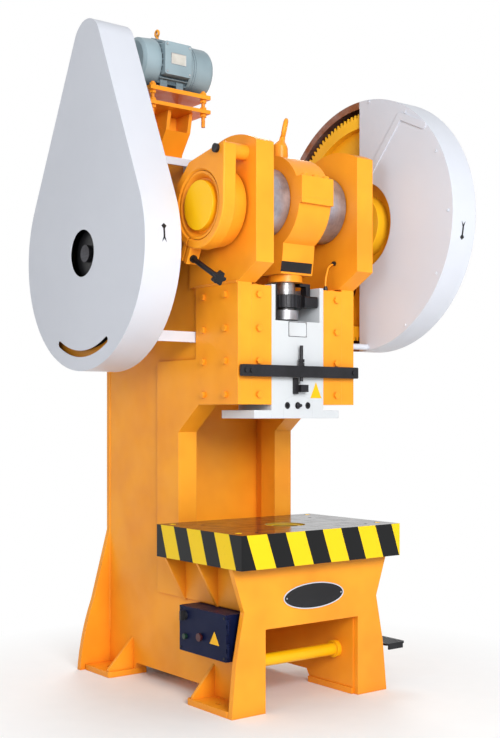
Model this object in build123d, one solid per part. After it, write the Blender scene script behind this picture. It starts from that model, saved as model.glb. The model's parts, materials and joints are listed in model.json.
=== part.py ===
from build123d import *
from math import acos, asin, atan2, cos, degrees, hypot, pi, radians, sin, sqrt, tan
import os

# Mechanical stamping press: a C-frame power press with a geared crank drive.
# X runs across the press, Y runs from the operator to the back, Z is up, in millimetres.
# While it is drawn, X = 0 is the centre of the bed, Y = 0 the front face of the bolster
# and Z = 0 the floor. The finished part is moved so that its origin is the middle of its footprint.

# Clearances
running_gap = 0.05
slide_gap = 0.3
moving_gap = 0.5

# Ram stroke and crank
stroke = 100
crank_y = 280
crank_z = 2200
journal_r = 75
crank_bush_wall = 24
crankpin_r = 95
web_r = 155
crank_left_x = -462
crank_right_x = 598

# Side plates of the C frame
frame_outer = 340
doubler_t = 12
side_inner = 265
side_bottom = 60
column_back = 1300
column_top = 2460
column_top_back = 1100
column_shoulder_z = 2250
cheek_front = 186
jaw_z = 1335
jaw_back = 486
throat_corner_z = 1208
throat_liner_inner = 237
throat_liner_depth = 110
doubler_back = 834
doubler_bottom = 440
doubler_top = 1543
cheek_back = 509

# Head blocks that carry the crankshaft
head_inner = 244
head_front = 56
head_back = 560
head_bottom = 1872
head_bevel_z = 1945
head_front_top = 2466
head_crown_y = 215
head_crown_z = 2512
head_rear_top = 2470
head_rear_y = 400
head_shoulder_z = 2330

# Cross plates between the side plates
plate_t = 22
throat_back_y = 835
crown_y = 640
crown_top = 2380

# Bed
bed_top = 637
front_plate_y = 80
front_plate_t = 28
bed_half_top = 450
bed_waist_half = 386
bed_waist_z = 447
bed_knee_half = 428
bed_knee_z = 235
bed_foot_half = 452
leg_reveal = 5
leg_open_z = 362
rib_t = 16
rib_foot_z = 433
rib_places = (345, 600)
rear_knee_half = 422
rear_knee_z = 348
rear_foot_half = 500
rear_swell_half = 474
rear_swell_z = 174
rear_waist_z = 700
rear_plate_t = 30
pad_t = 28
pad_gusset_t = 16
front_pad_back = 420
rear_pad_front = 1060
front_gusset_h = 140
rear_gusset_h = 155
floor_bolt_r = 14
floor_bolt_x = 398
front_bolt_y = 250
rear_bolt_y = 1180
tie_bar_r = 28
tie_collar_r = 40
tie_collar_w = 22
tie_bar_y = 225
tie_bar_z = 192

# Bolster
bolster_half = 460
bolster_depth = 650
bolster_t = 148
bolster_gap = 1
die_hole_r = 60
die_seat_r = 93
die_seat_depth = 6
clamp_hole_r = 8.75
clamp_hole_depth = 60
clamp_pitch_x = 640
clamp_pitch_y = 400
bolster_bolt_inset = 55
bolster_bolt_r = 10
bolster_bolt_head_r = 16
bolster_bolt_head_h = 20

# Slide and its guides
slide_front = 187
slide_back = 431
slide_bottom = 1273
slide_top = 1872
wing_front = 215
wing_back = 400
wing_top = 1860
flange_half = 249
flange_front = 189
flange_t = 37
pocket_half = 130
pocket_floor = 1712
pocket_back = 375
gib_inner = 153
way_half = 212
guide_top_drop = 8
guide_thread = 40
guide_bolt_rises = (44, 193, 337, 486)
gib_bolt_x = 228
cheek_bolt_columns = (277, 445)
guide_bolt_r = 9
guide_bolt_across = 30
guide_bolt_head = 13

# Punch shank clamp in the slide
shank_r = 30
shank_block_half = 85
shank_block_top = 1375
shank_arch = 22
shank_pinch = 1
shank_bolt_z = 1331
shank_bolt_x = 60
shank_bolt_r = 10

# Knockout
knockout_bar_bottom = 1458
knockout_bar_top = 1510
knockout_bar_t = 20
knockout_spacer = 14
knockout_bar_bolts = (-318, -288, 312)
knockout_bar_bolt_r = 7
knockout_screw_r = 8
knockout_screw_top = 1602
knockout_screw_bottom = 1440
knockout_lift = 12
knockout_rod_r = 12
knockout_rod_clear = 8
knockout_lever_left = -31
knockout_lever_step = -8
knockout_lever_right = 34
knockout_leg_bottom = 1383
knockout_leg_top = 1455
knockout_foot_z = 1392
knockout_foot_top = 1425
knockout_tongue_half = 7

# Connecting rod and ram screw
rod_half = 92
big_end_r = 215
big_end_bush_wall = 18
lug_front = 48
lug_top = 94
lug_bottom = 26
cap_bolt_r = 10
cap_bolt_pitch = 62
neck_half_y = 84
neck_swell = 10
neck_swell_z = 62
rod_flange_r = 80
rod_flange_t = 32
rod_bottom = 1893
screw_r = 46
ball_r = 42
ball_z = 1771
ratchet_r = 76
ratchet_teeth = 24
ratchet_tooth = 9
clamp_side_gap = 12
clamp_left = 40
clamp_reach = 96
clamp_back = 28
clamp_round = 12
clamp_arm_t = 24
clamp_arm_w = 40
ratchet_bottom = 1777
ratchet_top = 1835
cup_r = 62
cup_top = 1766
cup_floor_gap = 11
screw_depth = 110
screw_neck_r = 32
eye_bolt_x = -20
eye_thread = 50
eye_stem = 44
eye_loop_r = 24
eye_wire_r = 9
eye_straight = 34
eye_turn = 50
pointer_left = -122
pointer_w = 16
pointer_front = 205
pointer_depth = 20
pointer_top = 1880

# Bull gear and pinion
gear_module = 8
gear_teeth = 136
pinion_teeth = 18
pressure_angle = 20
backlash = 0.9
gear_left = 478
gear_face = 110
gear_rim = 62
gear_web_t = 38
gear_hub_r = 150
gear_hub_left = 446
gear_bore_r = 92
gear_hole_r = 85
gear_holes = 6
back_shaft_y = 873.8
back_shaft_r = 45
back_shaft_left = -712
back_shaft_right = 600
housing_r = 95
housing_flange_r = 132
housing_flange_t = 24

# Clutch on the crankshaft
clutch_r = 112
clutch_left = 344
clutch_notch = 18
clutch_notch_w = 44

# Gear guard
gear_guard_r = 605
gear_guard_left = 466
gear_guard_right = 616
gear_guard_pinion_r = 112
gear_guard_hub_r = 214
guard_sheet = 3
guard_lip = 34
brace_w = 34
brace_t = 5
spacer_r = 14

# Flywheel, belts and motor
flywheel_r = 505
flywheel_left = -694
flywheel_w = 122
flywheel_rim = 62
flywheel_web_t = 34
flywheel_hub_r = 112
flywheel_hole_r = 78
flywheel_holes = 5
belt_count = 3
belt_pitch = 32
belt_top_w = 20
belt_bottom_w = 12
belt_h = 13
belt_clearance = 0.5
motor_y = 835
motor_z = 2959
pulley_r = 92
motor_shaft_r = 24
motor_left = -500
motor_right = -85
motor_shield_w = 96
motor_shell_r = 112
motor_fin_r = 127
motor_fin_t = 5
motor_fins = 28
motor_foot_y = 88
motor_cowl_r = 122
motor_cowl_w = 128
motor_cowl_wall = 3
motor_rim_w = 14
terminal_left = -385
terminal_right = -236
terminal_reach = 142
terminal_drop = 70
terminal_rise = 84
motor_eye_x = -340
motor_eye_rise = 160

# Belt guard
belt_guard_left = -726
belt_guard_right = -540
belt_guard_r = 545
belt_guard_top_y = 835
belt_guard_top_z = 2987
belt_guard_top_r = 122
belt_guard_hole_r = 109
window_r = 465
window_w = 30
window_angle = 28
arm_t = 8
arm_h = 48
upper_arm_h = 34
arm_foot = 42
lower_arm_z = 1645
rear_arm_z = 1645
upper_arm_z = 2442
upper_arm_drop = 30
upper_arm_foot = 80

# Motor bracket
base_top = 2827
base_t = 20
base_left = -460
base_right = -120
base_front = 700
base_back = 980
tray_top = 2757
tray_t = 18
tray_web_x = -206
web_knee_z = 2650
web_toe = 200
motor_stud_r = 9
motor_stud_bottom = 2676

# Brake on the left end of the crankshaft
brake_left = -487
brake_plate_t = 62
brake_right = -352
brake_drum_r = 148
brake_ring_inner = 160
brake_ring_r = 188
brake_back_r = 170
brake_lip_r = 150
brake_lip_w = 16
brake_hub_r = 111
brake_shaft_step = 5
brake_drum_gap = 6
brake_anchor_y = 138
brake_anchor_z = 2421
brake_anchor_r = 12.5
brake_boss_r = 34
brake_lug_corners = ((102, 2429, 16), (344, 2384, 16), (420, 2300, 25))
brake_split_angle = -62
brake_split_gap = 12
brake_ear_t = 24
brake_ear_r = 262
brake_screw_place = 234
brake_screw_r = 8
brake_sleeve_r = 12
brake_knob_start = 236
brake_knob_t = 28
brake_knob_r = 21
brake_lobe_r = 9

# Control box
box_left = -440
box_right = -328
box_front = 137
box_back = 492
box_bottom = 231
box_top = 433
box_sheet = 3
door_t = 8
gland_x = -380
gland_inset = 60
gland_r = 14
gland_bore_r = 7
gland_h = 16
hinge_r = 5
hinge_len = 20
switch_place = (448, 392)
start_place = (440, 299)
stop_place = (323, 313)
button_hole_r = 11

# Foot pedal and trip linkage
pedal_pivot_y = 750
pedal_pivot_z = 200
pedal_pin_r = 14
pedal_hub_r = 26
link_arm = 100
link_pin_r = 8
link_eye_r = 20
link_t = 14
pedal_rod_r = 6
link_offset = 42
pedal_front = 100
pedal_pad_len = 170
pedal_pad_half = 62
pedal_pad_x = 535
pedal_arm_x = 488
trip_pivot_z = 1800
trip_tip_gap = 2
trip_tip_r = 16
trip_tip_angle = -67

# Sizes that follow from the ones above
throat_front = bolster_depth + bolster_gap
guide_bolt_rows = tuple(jaw_z + rise for rise in guide_bolt_rises)
slide_half = gib_inner - slide_gap
crank_throw = stroke / 2
pin_z = crank_z + crank_throw
side_outer = frame_outer - doubler_t
bush_r = journal_r + crank_bush_wall
bolster_top = bed_top + bolster_t
pitch_r_gear = gear_module * gear_teeth / 2
pitch_r_pinion = gear_module * pinion_teeth / 2
centre_distance = pitch_r_gear + pitch_r_pinion
mesh_angle = -asin(sqrt(centre_distance**2 - (back_shaft_y - crank_y) ** 2) / centre_distance)
back_shaft_z = crank_z + centre_distance * sin(mesh_angle)
gear_right = gear_left + gear_face
knockout_bar_back = cheek_front - knockout_spacer
knockout_bar_front = knockout_bar_back - knockout_bar_t
cup_bottom = pocket_floor + cup_floor_gap
pulley_left = flywheel_left
flange_top = slide_bottom + flange_t
shank_depth = shank_block_top - slide_bottom
hinge_y = box_front - hinge_r - slide_gap
link_left = side_outer + link_offset


def slab_x(sketch, x0, x1):
    """Sketch drawn in Y and Z, made solid from x0 to x1."""
    return extrude(Plane.YZ.offset(x0) * sketch, x1 - x0, dir=(1, 0, 0))


def slab_y(sketch, y0, y1):
    """Sketch drawn in X and Z, made solid from y0 to y1."""
    return extrude(Plane.XZ.offset(-y0) * sketch, y1 - y0, dir=(0, 1, 0))


def slab_z(sketch, z0, z1):
    """Sketch drawn in X and Y, made solid from z0 to z1."""
    return extrude(Plane.XY.offset(z0) * sketch, z1 - z0, dir=(0, 0, 1))


def block(x0, x1, y0, y1, z0, z1):
    centre = Pos((x0 + x1) / 2, (y0 + y1) / 2, (z0 + z1) / 2)
    return centre * Box(abs(x1 - x0), abs(y1 - y0), abs(z1 - z0))


def rod_x(y, z, r, x0, x1):
    return slab_x(Pos(y, z) * Circle(r), x0, x1)


def rod_y(x, z, r, y0, y1):
    return slab_y(Pos(x, z) * Circle(r), y0, y1)


def rod_z(x, y, r, z0, z1):
    return slab_z(Pos(x, y) * Circle(r), z0, z1)


def turned_x(y, z, profile):
    """Profile of (x, radius) points turned about the line through (y, z) along X."""
    face = make_face(Polyline([(x, y, z + r) for x, r in profile], close=True))
    return revolve(face, Axis((0, y, z), (1, 0, 0)), 360)


def turned_z(x, y, profile):
    """Profile of (radius, z) points turned about the line through (x, y) along Z."""
    face = make_face(Polyline([(x + r, y, z) for r, z in profile], close=True))
    return revolve(face, Axis((x, y, 0), (0, 0, 1)), 360)


def outline(*points):
    return make_face(Polyline([(u, v) for u, v in points], close=True))


def mirrored(part):
    return mirror(part, Plane.YZ)


def both_sides(part):
    return Compound(children=[part, mirrored(part)])


def group(parts):
    return Compound(children=list(parts))


def polar(centre, r, angle):
    return (centre[0] + r * cos(angle), centre[1] + r * sin(angle))


def ring_of(centre, r, count, face):
    """Copies of a face evenly spaced on a circle, each turned to point outwards."""
    return Pos(*centre) * (Sketch() + [place * face for place in PolarLocations(r, count)])


def belt_shape(c1, r1, c2, r2):
    """Outline of a tight loop round two circles, the first one the larger."""
    du, dv = c2[0] - c1[0], c2[1] - c1[1]
    base = atan2(dv, du)
    spread = acos((r1 - r2) / hypot(du, dv))
    a1, a2 = polar(c1, r1, base + spread), polar(c2, r2, base + spread)
    b1, b2 = polar(c1, r1, base - spread), polar(c2, r2, base - spread)
    edges = [
        Line(a1, a2),
        ThreePointArc(a2, polar(c2, r2, base), b2),
        Line(b2, b1),
        ThreePointArc(b1, polar(c1, r1, base + pi), a1),
    ]
    return make_face(edges)


def hex_bolt_x(y, z, x_face, length):
    """Hexagon bolt on the outer side of the frame, its shank towards the middle."""
    head = slab_x(Pos(y, z) * RegularPolygon(guide_bolt_across / 2, 6), x_face, x_face + guide_bolt_head)
    return head + rod_x(y, z, guide_bolt_r, x_face - length, x_face)


def hex_bolt_y(x, z, y_face, length):
    """Hexagon bolt on a face at y_face, its head towards the operator."""
    head = slab_y(Pos(x, z) * RegularPolygon(guide_bolt_across / 2, 6), y_face - guide_bolt_head, y_face)
    return head + rod_y(x, z, guide_bolt_r, y_face, y_face + length)


def involute(angle):
    return tan(angle) - angle


def gear_face_outline(centre, teeth, first_tooth):
    """Spur gear outline, one tooth centred on the angle first_tooth."""
    pitch_r = gear_module * teeth / 2
    base_r = pitch_r * cos(radians(pressure_angle))
    root_r = pitch_r - 1.25 * gear_module
    tip_r = pitch_r + gear_module
    flank_steps = 3
    low_r = max(root_r + 0.15 * gear_module, base_r)
    flank = [low_r + (tip_r - low_r) * i / (flank_steps - 1) for i in range(flank_steps)]
    pitch_half = pi / 2 / teeth - backlash / 4 / pitch_r + involute(radians(pressure_angle))
    half = [pitch_half - involute(acos(min(1, base_r / r))) for r in flank]
    points = []
    for tooth in range(teeth):
        middle = first_tooth + 2 * pi * tooth / teeth
        points.append(polar(centre, root_r, middle - half[0]))
        points += [polar(centre, r, middle - h) for r, h in zip(flank, half)]
        points += [polar(centre, r, middle + h) for r, h in zip(reversed(flank), reversed(half))]
        points.append(polar(centre, root_r, middle + half[0]))
    return make_face(Polyline(points, close=True))


def c_frame_outline():
    """Side plate, from the front of the bed round the throat to the cheeks, the head and the back."""
    y_front = front_plate_y + front_plate_t
    return outline(
        (y_front, pad_t),
        (front_pad_back, pad_t),
        (front_pad_back + 20, side_bottom),
        (rear_pad_front - 20, side_bottom),
        (rear_pad_front, pad_t),
        (column_back, pad_t),
        (column_back, column_shoulder_z),
        (column_top_back, column_top),
        (head_back, column_top),
        (head_back, head_bottom),
        (cheek_front, head_bottom),
        (cheek_front, jaw_z),
        (jaw_back, jaw_z),
        (throat_front, throat_corner_z),
        (throat_front, bed_top),
        (y_front, bed_top),
    )


def throat_strip_outline():
    """Thick edge strip that follows the throat from the bed up to the underside of the cheek."""
    back = throat_front + throat_liner_depth
    return outline(
        (throat_front, bed_top),
        (back, bed_top),
        (back, throat_corner_z + 50),
        (jaw_back + 60, jaw_z + 90),
        (jaw_back, jaw_z + 90),
        (jaw_back, jaw_z),
        (throat_front, throat_corner_z),
    )


def side_plate():
    plate = slab_x(c_frame_outline(), side_inner, side_outer)
    plate += slab_x(throat_strip_outline(), throat_liner_inner, side_inner)
    plate += block(way_half, side_inner, wing_front, wing_back, jaw_z, head_bottom)
    plate -= rod_x(back_shaft_y, back_shaft_z, housing_r, side_inner, side_outer)
    for z in guide_bolt_rows:
        for y in cheek_bolt_columns:
            plate -= rod_x(y, z, guide_bolt_r, side_outer - guide_thread / 2, side_outer)
        plate -= rod_y(gib_bolt_x, z, guide_bolt_r, wing_front, wing_front + guide_thread)
    return plate


def doubler_plate():
    """Outer stiffening plate, which leaves the step line on the side of the column."""
    y_front = front_plate_y + front_plate_t
    shape = outline(
        (y_front, doubler_bottom),
        (doubler_back, doubler_bottom),
        (doubler_back, doubler_top),
        (cheek_back, doubler_top),
        (cheek_back, head_bottom),
        (cheek_front, head_bottom),
        (cheek_front, jaw_z),
        (jaw_back, jaw_z),
        (throat_front, throat_corner_z),
        (throat_front, bed_top),
        (y_front, bed_top),
    )
    plate = slab_x(shape, side_outer, frame_outer)
    for z in guide_bolt_rows:
        for y in cheek_bolt_columns:
            plate -= rod_x(y, z, guide_bolt_r, side_outer, frame_outer)
    return plate


def head_block():
    edges = [
        Polyline(
            (head_rear_y, head_rear_top),
            (head_back, head_shoulder_z),
            (head_back, head_bottom),
            (cheek_front, head_bottom),
            (head_front, head_bevel_z),
            (head_front, head_front_top),
        ),
        ThreePointArc(
            (head_front, head_front_top),
            (head_crown_y, head_crown_z),
            (head_rear_y, head_rear_top),
        ),
    ]
    head = slab_x(make_face(edges), head_inner, frame_outer)
    return head - rod_x(crank_y, crank_z, bush_r, head_inner, frame_outer)


def cross_plates():
    throat_back = block(-side_inner, side_inner, throat_back_y, throat_back_y + plate_t, side_bottom, head_bottom)
    crown = block(-side_inner, side_inner, crown_y, crown_y + plate_t, jaw_z + 90, crown_top)
    top = block(-side_outer, side_outer, crown_y, column_top_back, column_top, column_top + plate_t)
    slope = outline(
        (column_top_back, column_top),
        (column_top_back, column_top + plate_t),
        (column_top_back + plate_t / 2, column_top + plate_t),
        (column_back + rear_plate_t, column_shoulder_z),
        (column_back, column_shoulder_z),
    )
    top += slab_x(slope, -side_outer, side_outer)
    throat_roof = block(
        -throat_liner_inner, throat_liner_inner, crown_y + plate_t, throat_back_y, jaw_z + 90, jaw_z + 90 + plate_t
    )
    return group([throat_back, crown, top, throat_roof, bed_top_plate()])


def column_rear_plate():
    half = side_outer
    knee = (rear_knee_half, rear_knee_z)
    swell = (rear_swell_half, rear_swell_z)
    foot = (rear_foot_half, 0)
    edges = [
        ThreePointArc(foot, swell, knee),
        Polyline(
            knee,
            (half, rear_waist_z),
            (half, column_shoulder_z),
            (-half, column_shoulder_z),
            (-half, rear_waist_z),
            (-knee[0], knee[1]),
        ),
        ThreePointArc((-knee[0], knee[1]), (-swell[0], swell[1]), (-foot[0], 0)),
        Polyline(
            (-foot[0], 0),
            (-side_inner, 0),
            (-side_inner, side_bottom),
            (side_inner, side_bottom),
            (side_inner, 0),
            foot,
        ),
    ]
    return slab_y(make_face(edges), column_back, column_back + rear_plate_t)


def bed_front_plate():
    open_half = side_inner + leg_reveal
    shape = outline(
        (-bed_foot_half, 0),
        (-open_half, 0),
        (-open_half, leg_open_z),
        (open_half, leg_open_z),
        (open_half, 0),
        (bed_foot_half, 0),
        (bed_knee_half, bed_knee_z),
        (bed_waist_half, bed_waist_z),
        (bed_half_top, bed_top),
        (-bed_half_top, bed_top),
        (-bed_waist_half, bed_waist_z),
        (-bed_knee_half, bed_knee_z),
    )
    return slab_y(shape, front_plate_y, front_plate_y + front_plate_t)


def bed_top_plate():
    """Plate under the bolster, between the side plates, open under the die hole."""
    y_front = front_plate_y + front_plate_t
    top = block(-side_inner, side_inner, y_front, throat_front, bed_top - plate_t, bed_top)
    top -= rod_z(0, crank_y, die_hole_r + 15, bed_top - plate_t, bed_top)
    return top


def bed_ribs():
    rib_shape = outline(
        (frame_outer, rib_foot_z),
        (bed_half_top, bed_top),
        (frame_outer, bed_top),
    )
    foot_shape = outline(
        (side_outer, rib_foot_z),
        (frame_outer, rib_foot_z),
        (frame_outer, doubler_bottom),
        (side_outer, doubler_bottom),
    )
    ribs = []
    for y in rib_places:
        rib = slab_y(rib_shape, y - rib_t / 2, y + rib_t / 2)
        rib += slab_y(foot_shape, y - rib_t / 2, y + rib_t / 2)
        ribs += [rib, mirrored(rib)]
    return group(ribs)


def foot_pad(y0, y1, x_outer, gusset_y, gusset_h, bolt_y, x_inner):
    pad = block(x_inner, x_outer, y0, y1, 0, pad_t)
    pad = fillet(pad.edges().filter_by(Axis.Z).sort_by(Axis.X)[-2:], 14)
    pad -= rod_z(floor_bolt_x, bolt_y, floor_bolt_r, 0, pad_t)
    gusset = outline((side_outer, pad_t), (x_outer - 6, pad_t), (x_outer - 6, pad_t + 10), (side_outer, pad_t + gusset_h))
    return pad + slab_y(gusset, gusset_y, gusset_y + pad_gusset_t)


def foot_pads():
    front = foot_pad(
        front_plate_y + front_plate_t,
        front_pad_back,
        bed_foot_half,
        front_pad_back - 42,
        front_gusset_h,
        front_bolt_y,
        side_inner - 8,
    )
    rear = foot_pad(
        rear_pad_front,
        column_back,
        rear_swell_half,
        rear_pad_front + 14,
        rear_gusset_h,
        rear_bolt_y,
        side_inner - 8,
    )
    return group([front, mirrored(front), rear, mirrored(rear)])


def tie_bar():
    half = side_inner
    collar = tie_collar_w
    profile = [
        (-half, 0),
        (-half, tie_collar_r),
        (-half + collar, tie_collar_r),
        (-half + collar, tie_bar_r),
        (half - collar, tie_bar_r),
        (half - collar, tie_collar_r),
        (half, tie_collar_r),
        (half, 0),
    ]
    return turned_x(tie_bar_y, tie_bar_z, profile)


def bolster_bolt_places():
    x = bolster_half - bolster_bolt_inset
    return [(sx * x, y) for sx in (-1, 1) for y in (front_plate_y + 14, rib_places[1])]


def bolster():
    plate = block(-bolster_half, bolster_half, 0, bolster_depth, bed_top, bolster_top)
    plate -= rod_z(0, crank_y, die_hole_r, bed_top, bolster_top)
    plate -= rod_z(0, crank_y, die_seat_r, bolster_top - die_seat_depth, bolster_top)
    for sx in (-1, 1):
        for sy in (-1, 1):
            x, y = sx * clamp_pitch_x / 2, crank_y + sy * clamp_pitch_y / 2
            plate -= rod_z(x, y, clamp_hole_r, bolster_top - clamp_hole_depth, bolster_top)
    for x, y in bolster_bolt_places():
        plate -= rod_z(x, y, bolster_bolt_r, bed_top, bolster_top)
        plate -= rod_z(x, y, bolster_bolt_head_r, bolster_top - bolster_bolt_head_h - 4, bolster_top)
    return plate


def bolster_bolts():
    bolts = []
    for x, y in bolster_bolt_places():
        seat = bolster_top - bolster_bolt_head_h - 4
        socket = slab_z(Pos(x, y) * RegularPolygon(8, 6), seat + 9, seat + bolster_bolt_head_h)
        head = rod_z(x, y, bolster_bolt_head_r - 1, seat, seat + bolster_bolt_head_h) - socket
        bolts.append(head + rod_z(x, y, bolster_bolt_r, bed_top, seat))
    return bolts


def slide_guides():
    """Front gib plates and the rails behind the slide's wings."""
    top = head_bottom - guide_top_drop
    gib = block(gib_inner, side_inner, cheek_front, wing_front, jaw_z, top)
    for z in guide_bolt_rows:
        gib -= rod_y(gib_bolt_x, z, guide_bolt_r, cheek_front, wing_front)
    rail = block(gib_inner, side_inner, wing_back, slide_back, jaw_z, top)
    return group([gib, mirrored(gib), rail, mirrored(rail)])


def guide_bolts():
    bolts = []
    for z in guide_bolt_rows:
        front = hex_bolt_y(gib_bolt_x, z, cheek_front, wing_front - cheek_front + guide_thread)
        bolts += [front, mirrored(front)]
        for y in cheek_bolt_columns:
            side = hex_bolt_x(y, z, frame_outer, doubler_t + guide_thread / 2)
            bolts += [side, mirrored(side)]
    return bolts


def knockout_bar():
    bar = block(
        -frame_outer, frame_outer, knockout_bar_front, knockout_bar_back, knockout_bar_bottom, knockout_bar_top
    )
    middle_y = (knockout_bar_front + knockout_bar_back) / 2
    middle_z = (knockout_bar_bottom + knockout_bar_top) / 2
    bar = fillet(bar.edges().filter_by(Axis.Y), 6)
    bar -= rod_z(0, middle_y, knockout_screw_r, knockout_bar_bottom, knockout_bar_top)
    for x in knockout_bar_bolts:
        bar -= rod_y(x, middle_z, knockout_bar_bolt_r, knockout_bar_front, knockout_bar_back)
    return bar


def knockout_screws():
    """Stud with its nuts through the bar, and the screws and spacers that hold the bar."""
    y = (knockout_bar_front + knockout_bar_back) / 2
    stud = rod_z(0, y, knockout_screw_r, knockout_screw_bottom, knockout_screw_top)
    nut = Pos(0, y) * RegularPolygon(15, 6)
    stud += slab_z(nut, knockout_bar_top, knockout_bar_top + 14)
    stud += slab_z(nut, knockout_bar_top + 16, knockout_bar_top + 30)
    pieces = [stud]
    middle = (knockout_bar_bottom + knockout_bar_top) / 2
    for x in knockout_bar_bolts:
        screw = rod_y(x, middle, knockout_bar_bolt_r, knockout_bar_front, cheek_front)
        screw += rod_y(x, middle, knockout_bar_bolt_r + 4, knockout_bar_front - 6, knockout_bar_front)
        screw += rod_y(x, middle, knockout_bar_bolt_r + 6, knockout_bar_back, cheek_front)
        pieces.append(screw)
    return group(pieces)


def slide():
    wing = way_half - slide_gap
    plan = outline(
        (-slide_half, slide_front),
        (slide_half, slide_front),
        (slide_half, wing_front + slide_gap),
        (wing, wing_front + slide_gap),
        (wing, wing_back - slide_gap),
        (slide_half, wing_back - slide_gap),
        (slide_half, slide_back),
        (-slide_half, slide_back),
        (-slide_half, wing_back - slide_gap),
        (-wing, wing_back - slide_gap),
        (-wing, wing_front + slide_gap),
        (-slide_half, wing_front + slide_gap),
    )
    body = slab_z(plan, jaw_z, wing_top)
    body += block(-slide_half, slide_half, slide_front, slide_back, slide_bottom, slide_top)
    body += block(-flange_half, flange_half, flange_front, slide_back, slide_bottom, flange_top)
    pocket = block(-pocket_half, pocket_half, slide_front, pocket_back, pocket_floor, slide_top)
    pocket = fillet(pocket.edges().filter_by(Axis.Z).sort_by(Axis.Y)[-2:], 30)
    body -= pocket
    body -= shank_block_space()
    body -= rod_z(0, crank_y, shank_r, slide_bottom, slide_bottom + shank_depth)
    rod_space = knockout_foot_top + knockout_lift + moving_gap
    body -= rod_z(0, crank_y, knockout_rod_r + moving_gap, slide_bottom + shank_depth, rod_space)
    slot_half = knockout_tongue_half + moving_gap
    body -= block(-slot_half, slot_half, slide_front, crank_y, knockout_foot_z - moving_gap, rod_space)
    for x in (-shank_bolt_x, shank_bolt_x):
        body -= rod_y(x, shank_bolt_z, shank_bolt_r, crank_y, crank_y + 40)
    return body


def shank_block_outline(inset):
    """Front of the shank clamp: straight sides and a low arch on top, drawn in X and Z."""
    half = shank_block_half - inset
    side_top = shank_block_top - shank_arch
    edges = [
        Polyline((-half, side_top), (-half, slide_bottom), (half, slide_bottom), (half, side_top)),
        ThreePointArc((half, side_top), (0, shank_block_top - inset), (-half, side_top)),
    ]
    return make_face(edges)


def shank_block_space():
    return slab_y(shank_block_outline(0), slide_front, crank_y)


def shank_clamp():
    """Removable front half of the punch shank bore."""
    clamp = slab_y(shank_block_outline(moving_gap), slide_front, crank_y - shank_pinch)
    clamp -= rod_z(0, crank_y, shank_r, slide_bottom, shank_block_top)
    for x in (-shank_bolt_x, 0, shank_bolt_x):
        clamp -= rod_y(x, shank_bolt_z, shank_bolt_r, slide_front, crank_y)
        clamp -= rod_y(x, shank_bolt_z, shank_bolt_r + 6, slide_front, slide_front + 16)
    return clamp


def height_pointer():
    """Square post in the slide's pocket, beside the ram screw, that shows the ram's height."""
    return block(
        pointer_left,
        pointer_left + pointer_w,
        pointer_front,
        pointer_front + pointer_depth,
        pocket_floor,
        pointer_top,
    )


def slide_fittings():
    """Bolts and set screw of the shank clamp, and the pointer post."""
    bolts = [height_pointer()]
    for x in (-shank_bolt_x, 0, shank_bolt_x):
        reach = 40 if x else -shank_r - 4
        head = rod_y(x, shank_bolt_z, shank_bolt_r + 5.5, slide_front + 2, slide_front + 16)
        head -= slab_y(Pos(x, shank_bolt_z) * RegularPolygon(8, 6), slide_front + 2, slide_front + 10)
        bolts.append(head + rod_y(x, shank_bolt_z, shank_bolt_r, slide_front + 16, crank_y + reach))
    return group(bolts)


def knockout_pin():
    """Stepped lever on the slide's front, with the rod that pushes the blank out of the punch."""
    near_face = slide_front - slide_gap
    leg_front = knockout_bar_back + moving_gap
    half = knockout_tongue_half
    lever = block(knockout_lever_left, knockout_lever_step, leg_front, near_face, knockout_leg_bottom, knockout_leg_top)
    lever += block(
        knockout_lever_step, knockout_lever_right, knockout_bar_front, near_face, knockout_foot_z, knockout_foot_top
    )
    lever += block(-half, half, near_face, crank_y, knockout_foot_z, knockout_foot_top - 4)
    rod_end = slide_bottom + shank_depth + knockout_rod_clear
    return lever + rod_z(0, crank_y, knockout_rod_r, rod_end, knockout_foot_top)


def crankshaft():
    """Crankshaft turned on the main axis, with round webs and a pin centred above it at the top of the stroke."""
    inner = rod_half + moving_gap
    outer = head_inner - 3
    shaft = rod_x(crank_y, crank_z, journal_r - brake_shaft_step, crank_left_x, -frame_outer)
    shaft += rod_x(crank_y, crank_z, journal_r, -frame_outer, -inner)
    shaft += rod_x(crank_y, crank_z, journal_r, inner, crank_right_x)
    for x0, x1 in ((-outer, -inner), (inner, outer)):
        web = rod_x(crank_y, pin_z, web_r, x0, x1)
        shaft += chamfer(web.edges().filter_by(GeomType.CIRCLE), 4)
    return shaft + rod_x(crank_y, pin_z, crankpin_r, -inner, inner)


def crank_bushes():
    bush = rod_x(crank_y, crank_z, bush_r, head_inner, frame_outer)
    bush -= rod_x(crank_y, crank_z, journal_r + running_gap, head_inner, frame_outer)
    return both_sides(bush)


def clutch_collar():
    """Clutch sleeve on the crankshaft, with the notch that the trip lever drops into."""
    right = gear_hub_left - moving_gap
    profile = [
        (clutch_left, journal_r),
        (clutch_left, clutch_r),
        (right - 26, clutch_r),
        (right - 20, clutch_r - 14),
        (right, clutch_r - 14),
        (right, journal_r),
    ]
    collar = turned_x(crank_y, crank_z, profile)
    notch = Pos(*trip_contact(clutch_r)) * Rot(0, 0, trip_tip_angle) * Rectangle(2 * clutch_notch, clutch_notch_w)
    return collar - slab_x(notch, link_left - clutch_notch / 2, link_left + link_t + clutch_notch / 2)


def brake_drum():
    """Drum keyed to the crankshaft, dished round its raised centre boss."""
    right = -frame_outer - brake_drum_gap
    shaft_r = journal_r - brake_shaft_step
    profile = [
        (right, shaft_r),
        (right, brake_drum_r),
        (brake_left + 6, brake_drum_r),
        (brake_left + 6, brake_drum_r - 10),
        (brake_left + 26, brake_hub_r + 8),
        (brake_left + 26, brake_hub_r),
        (brake_left + 2, brake_hub_r - 3),
        (brake_left + 2, 0),
        (crank_left_x, 0),
        (crank_left_x, shaft_r),
    ]
    return turned_x(crank_y, crank_z, profile)


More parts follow.
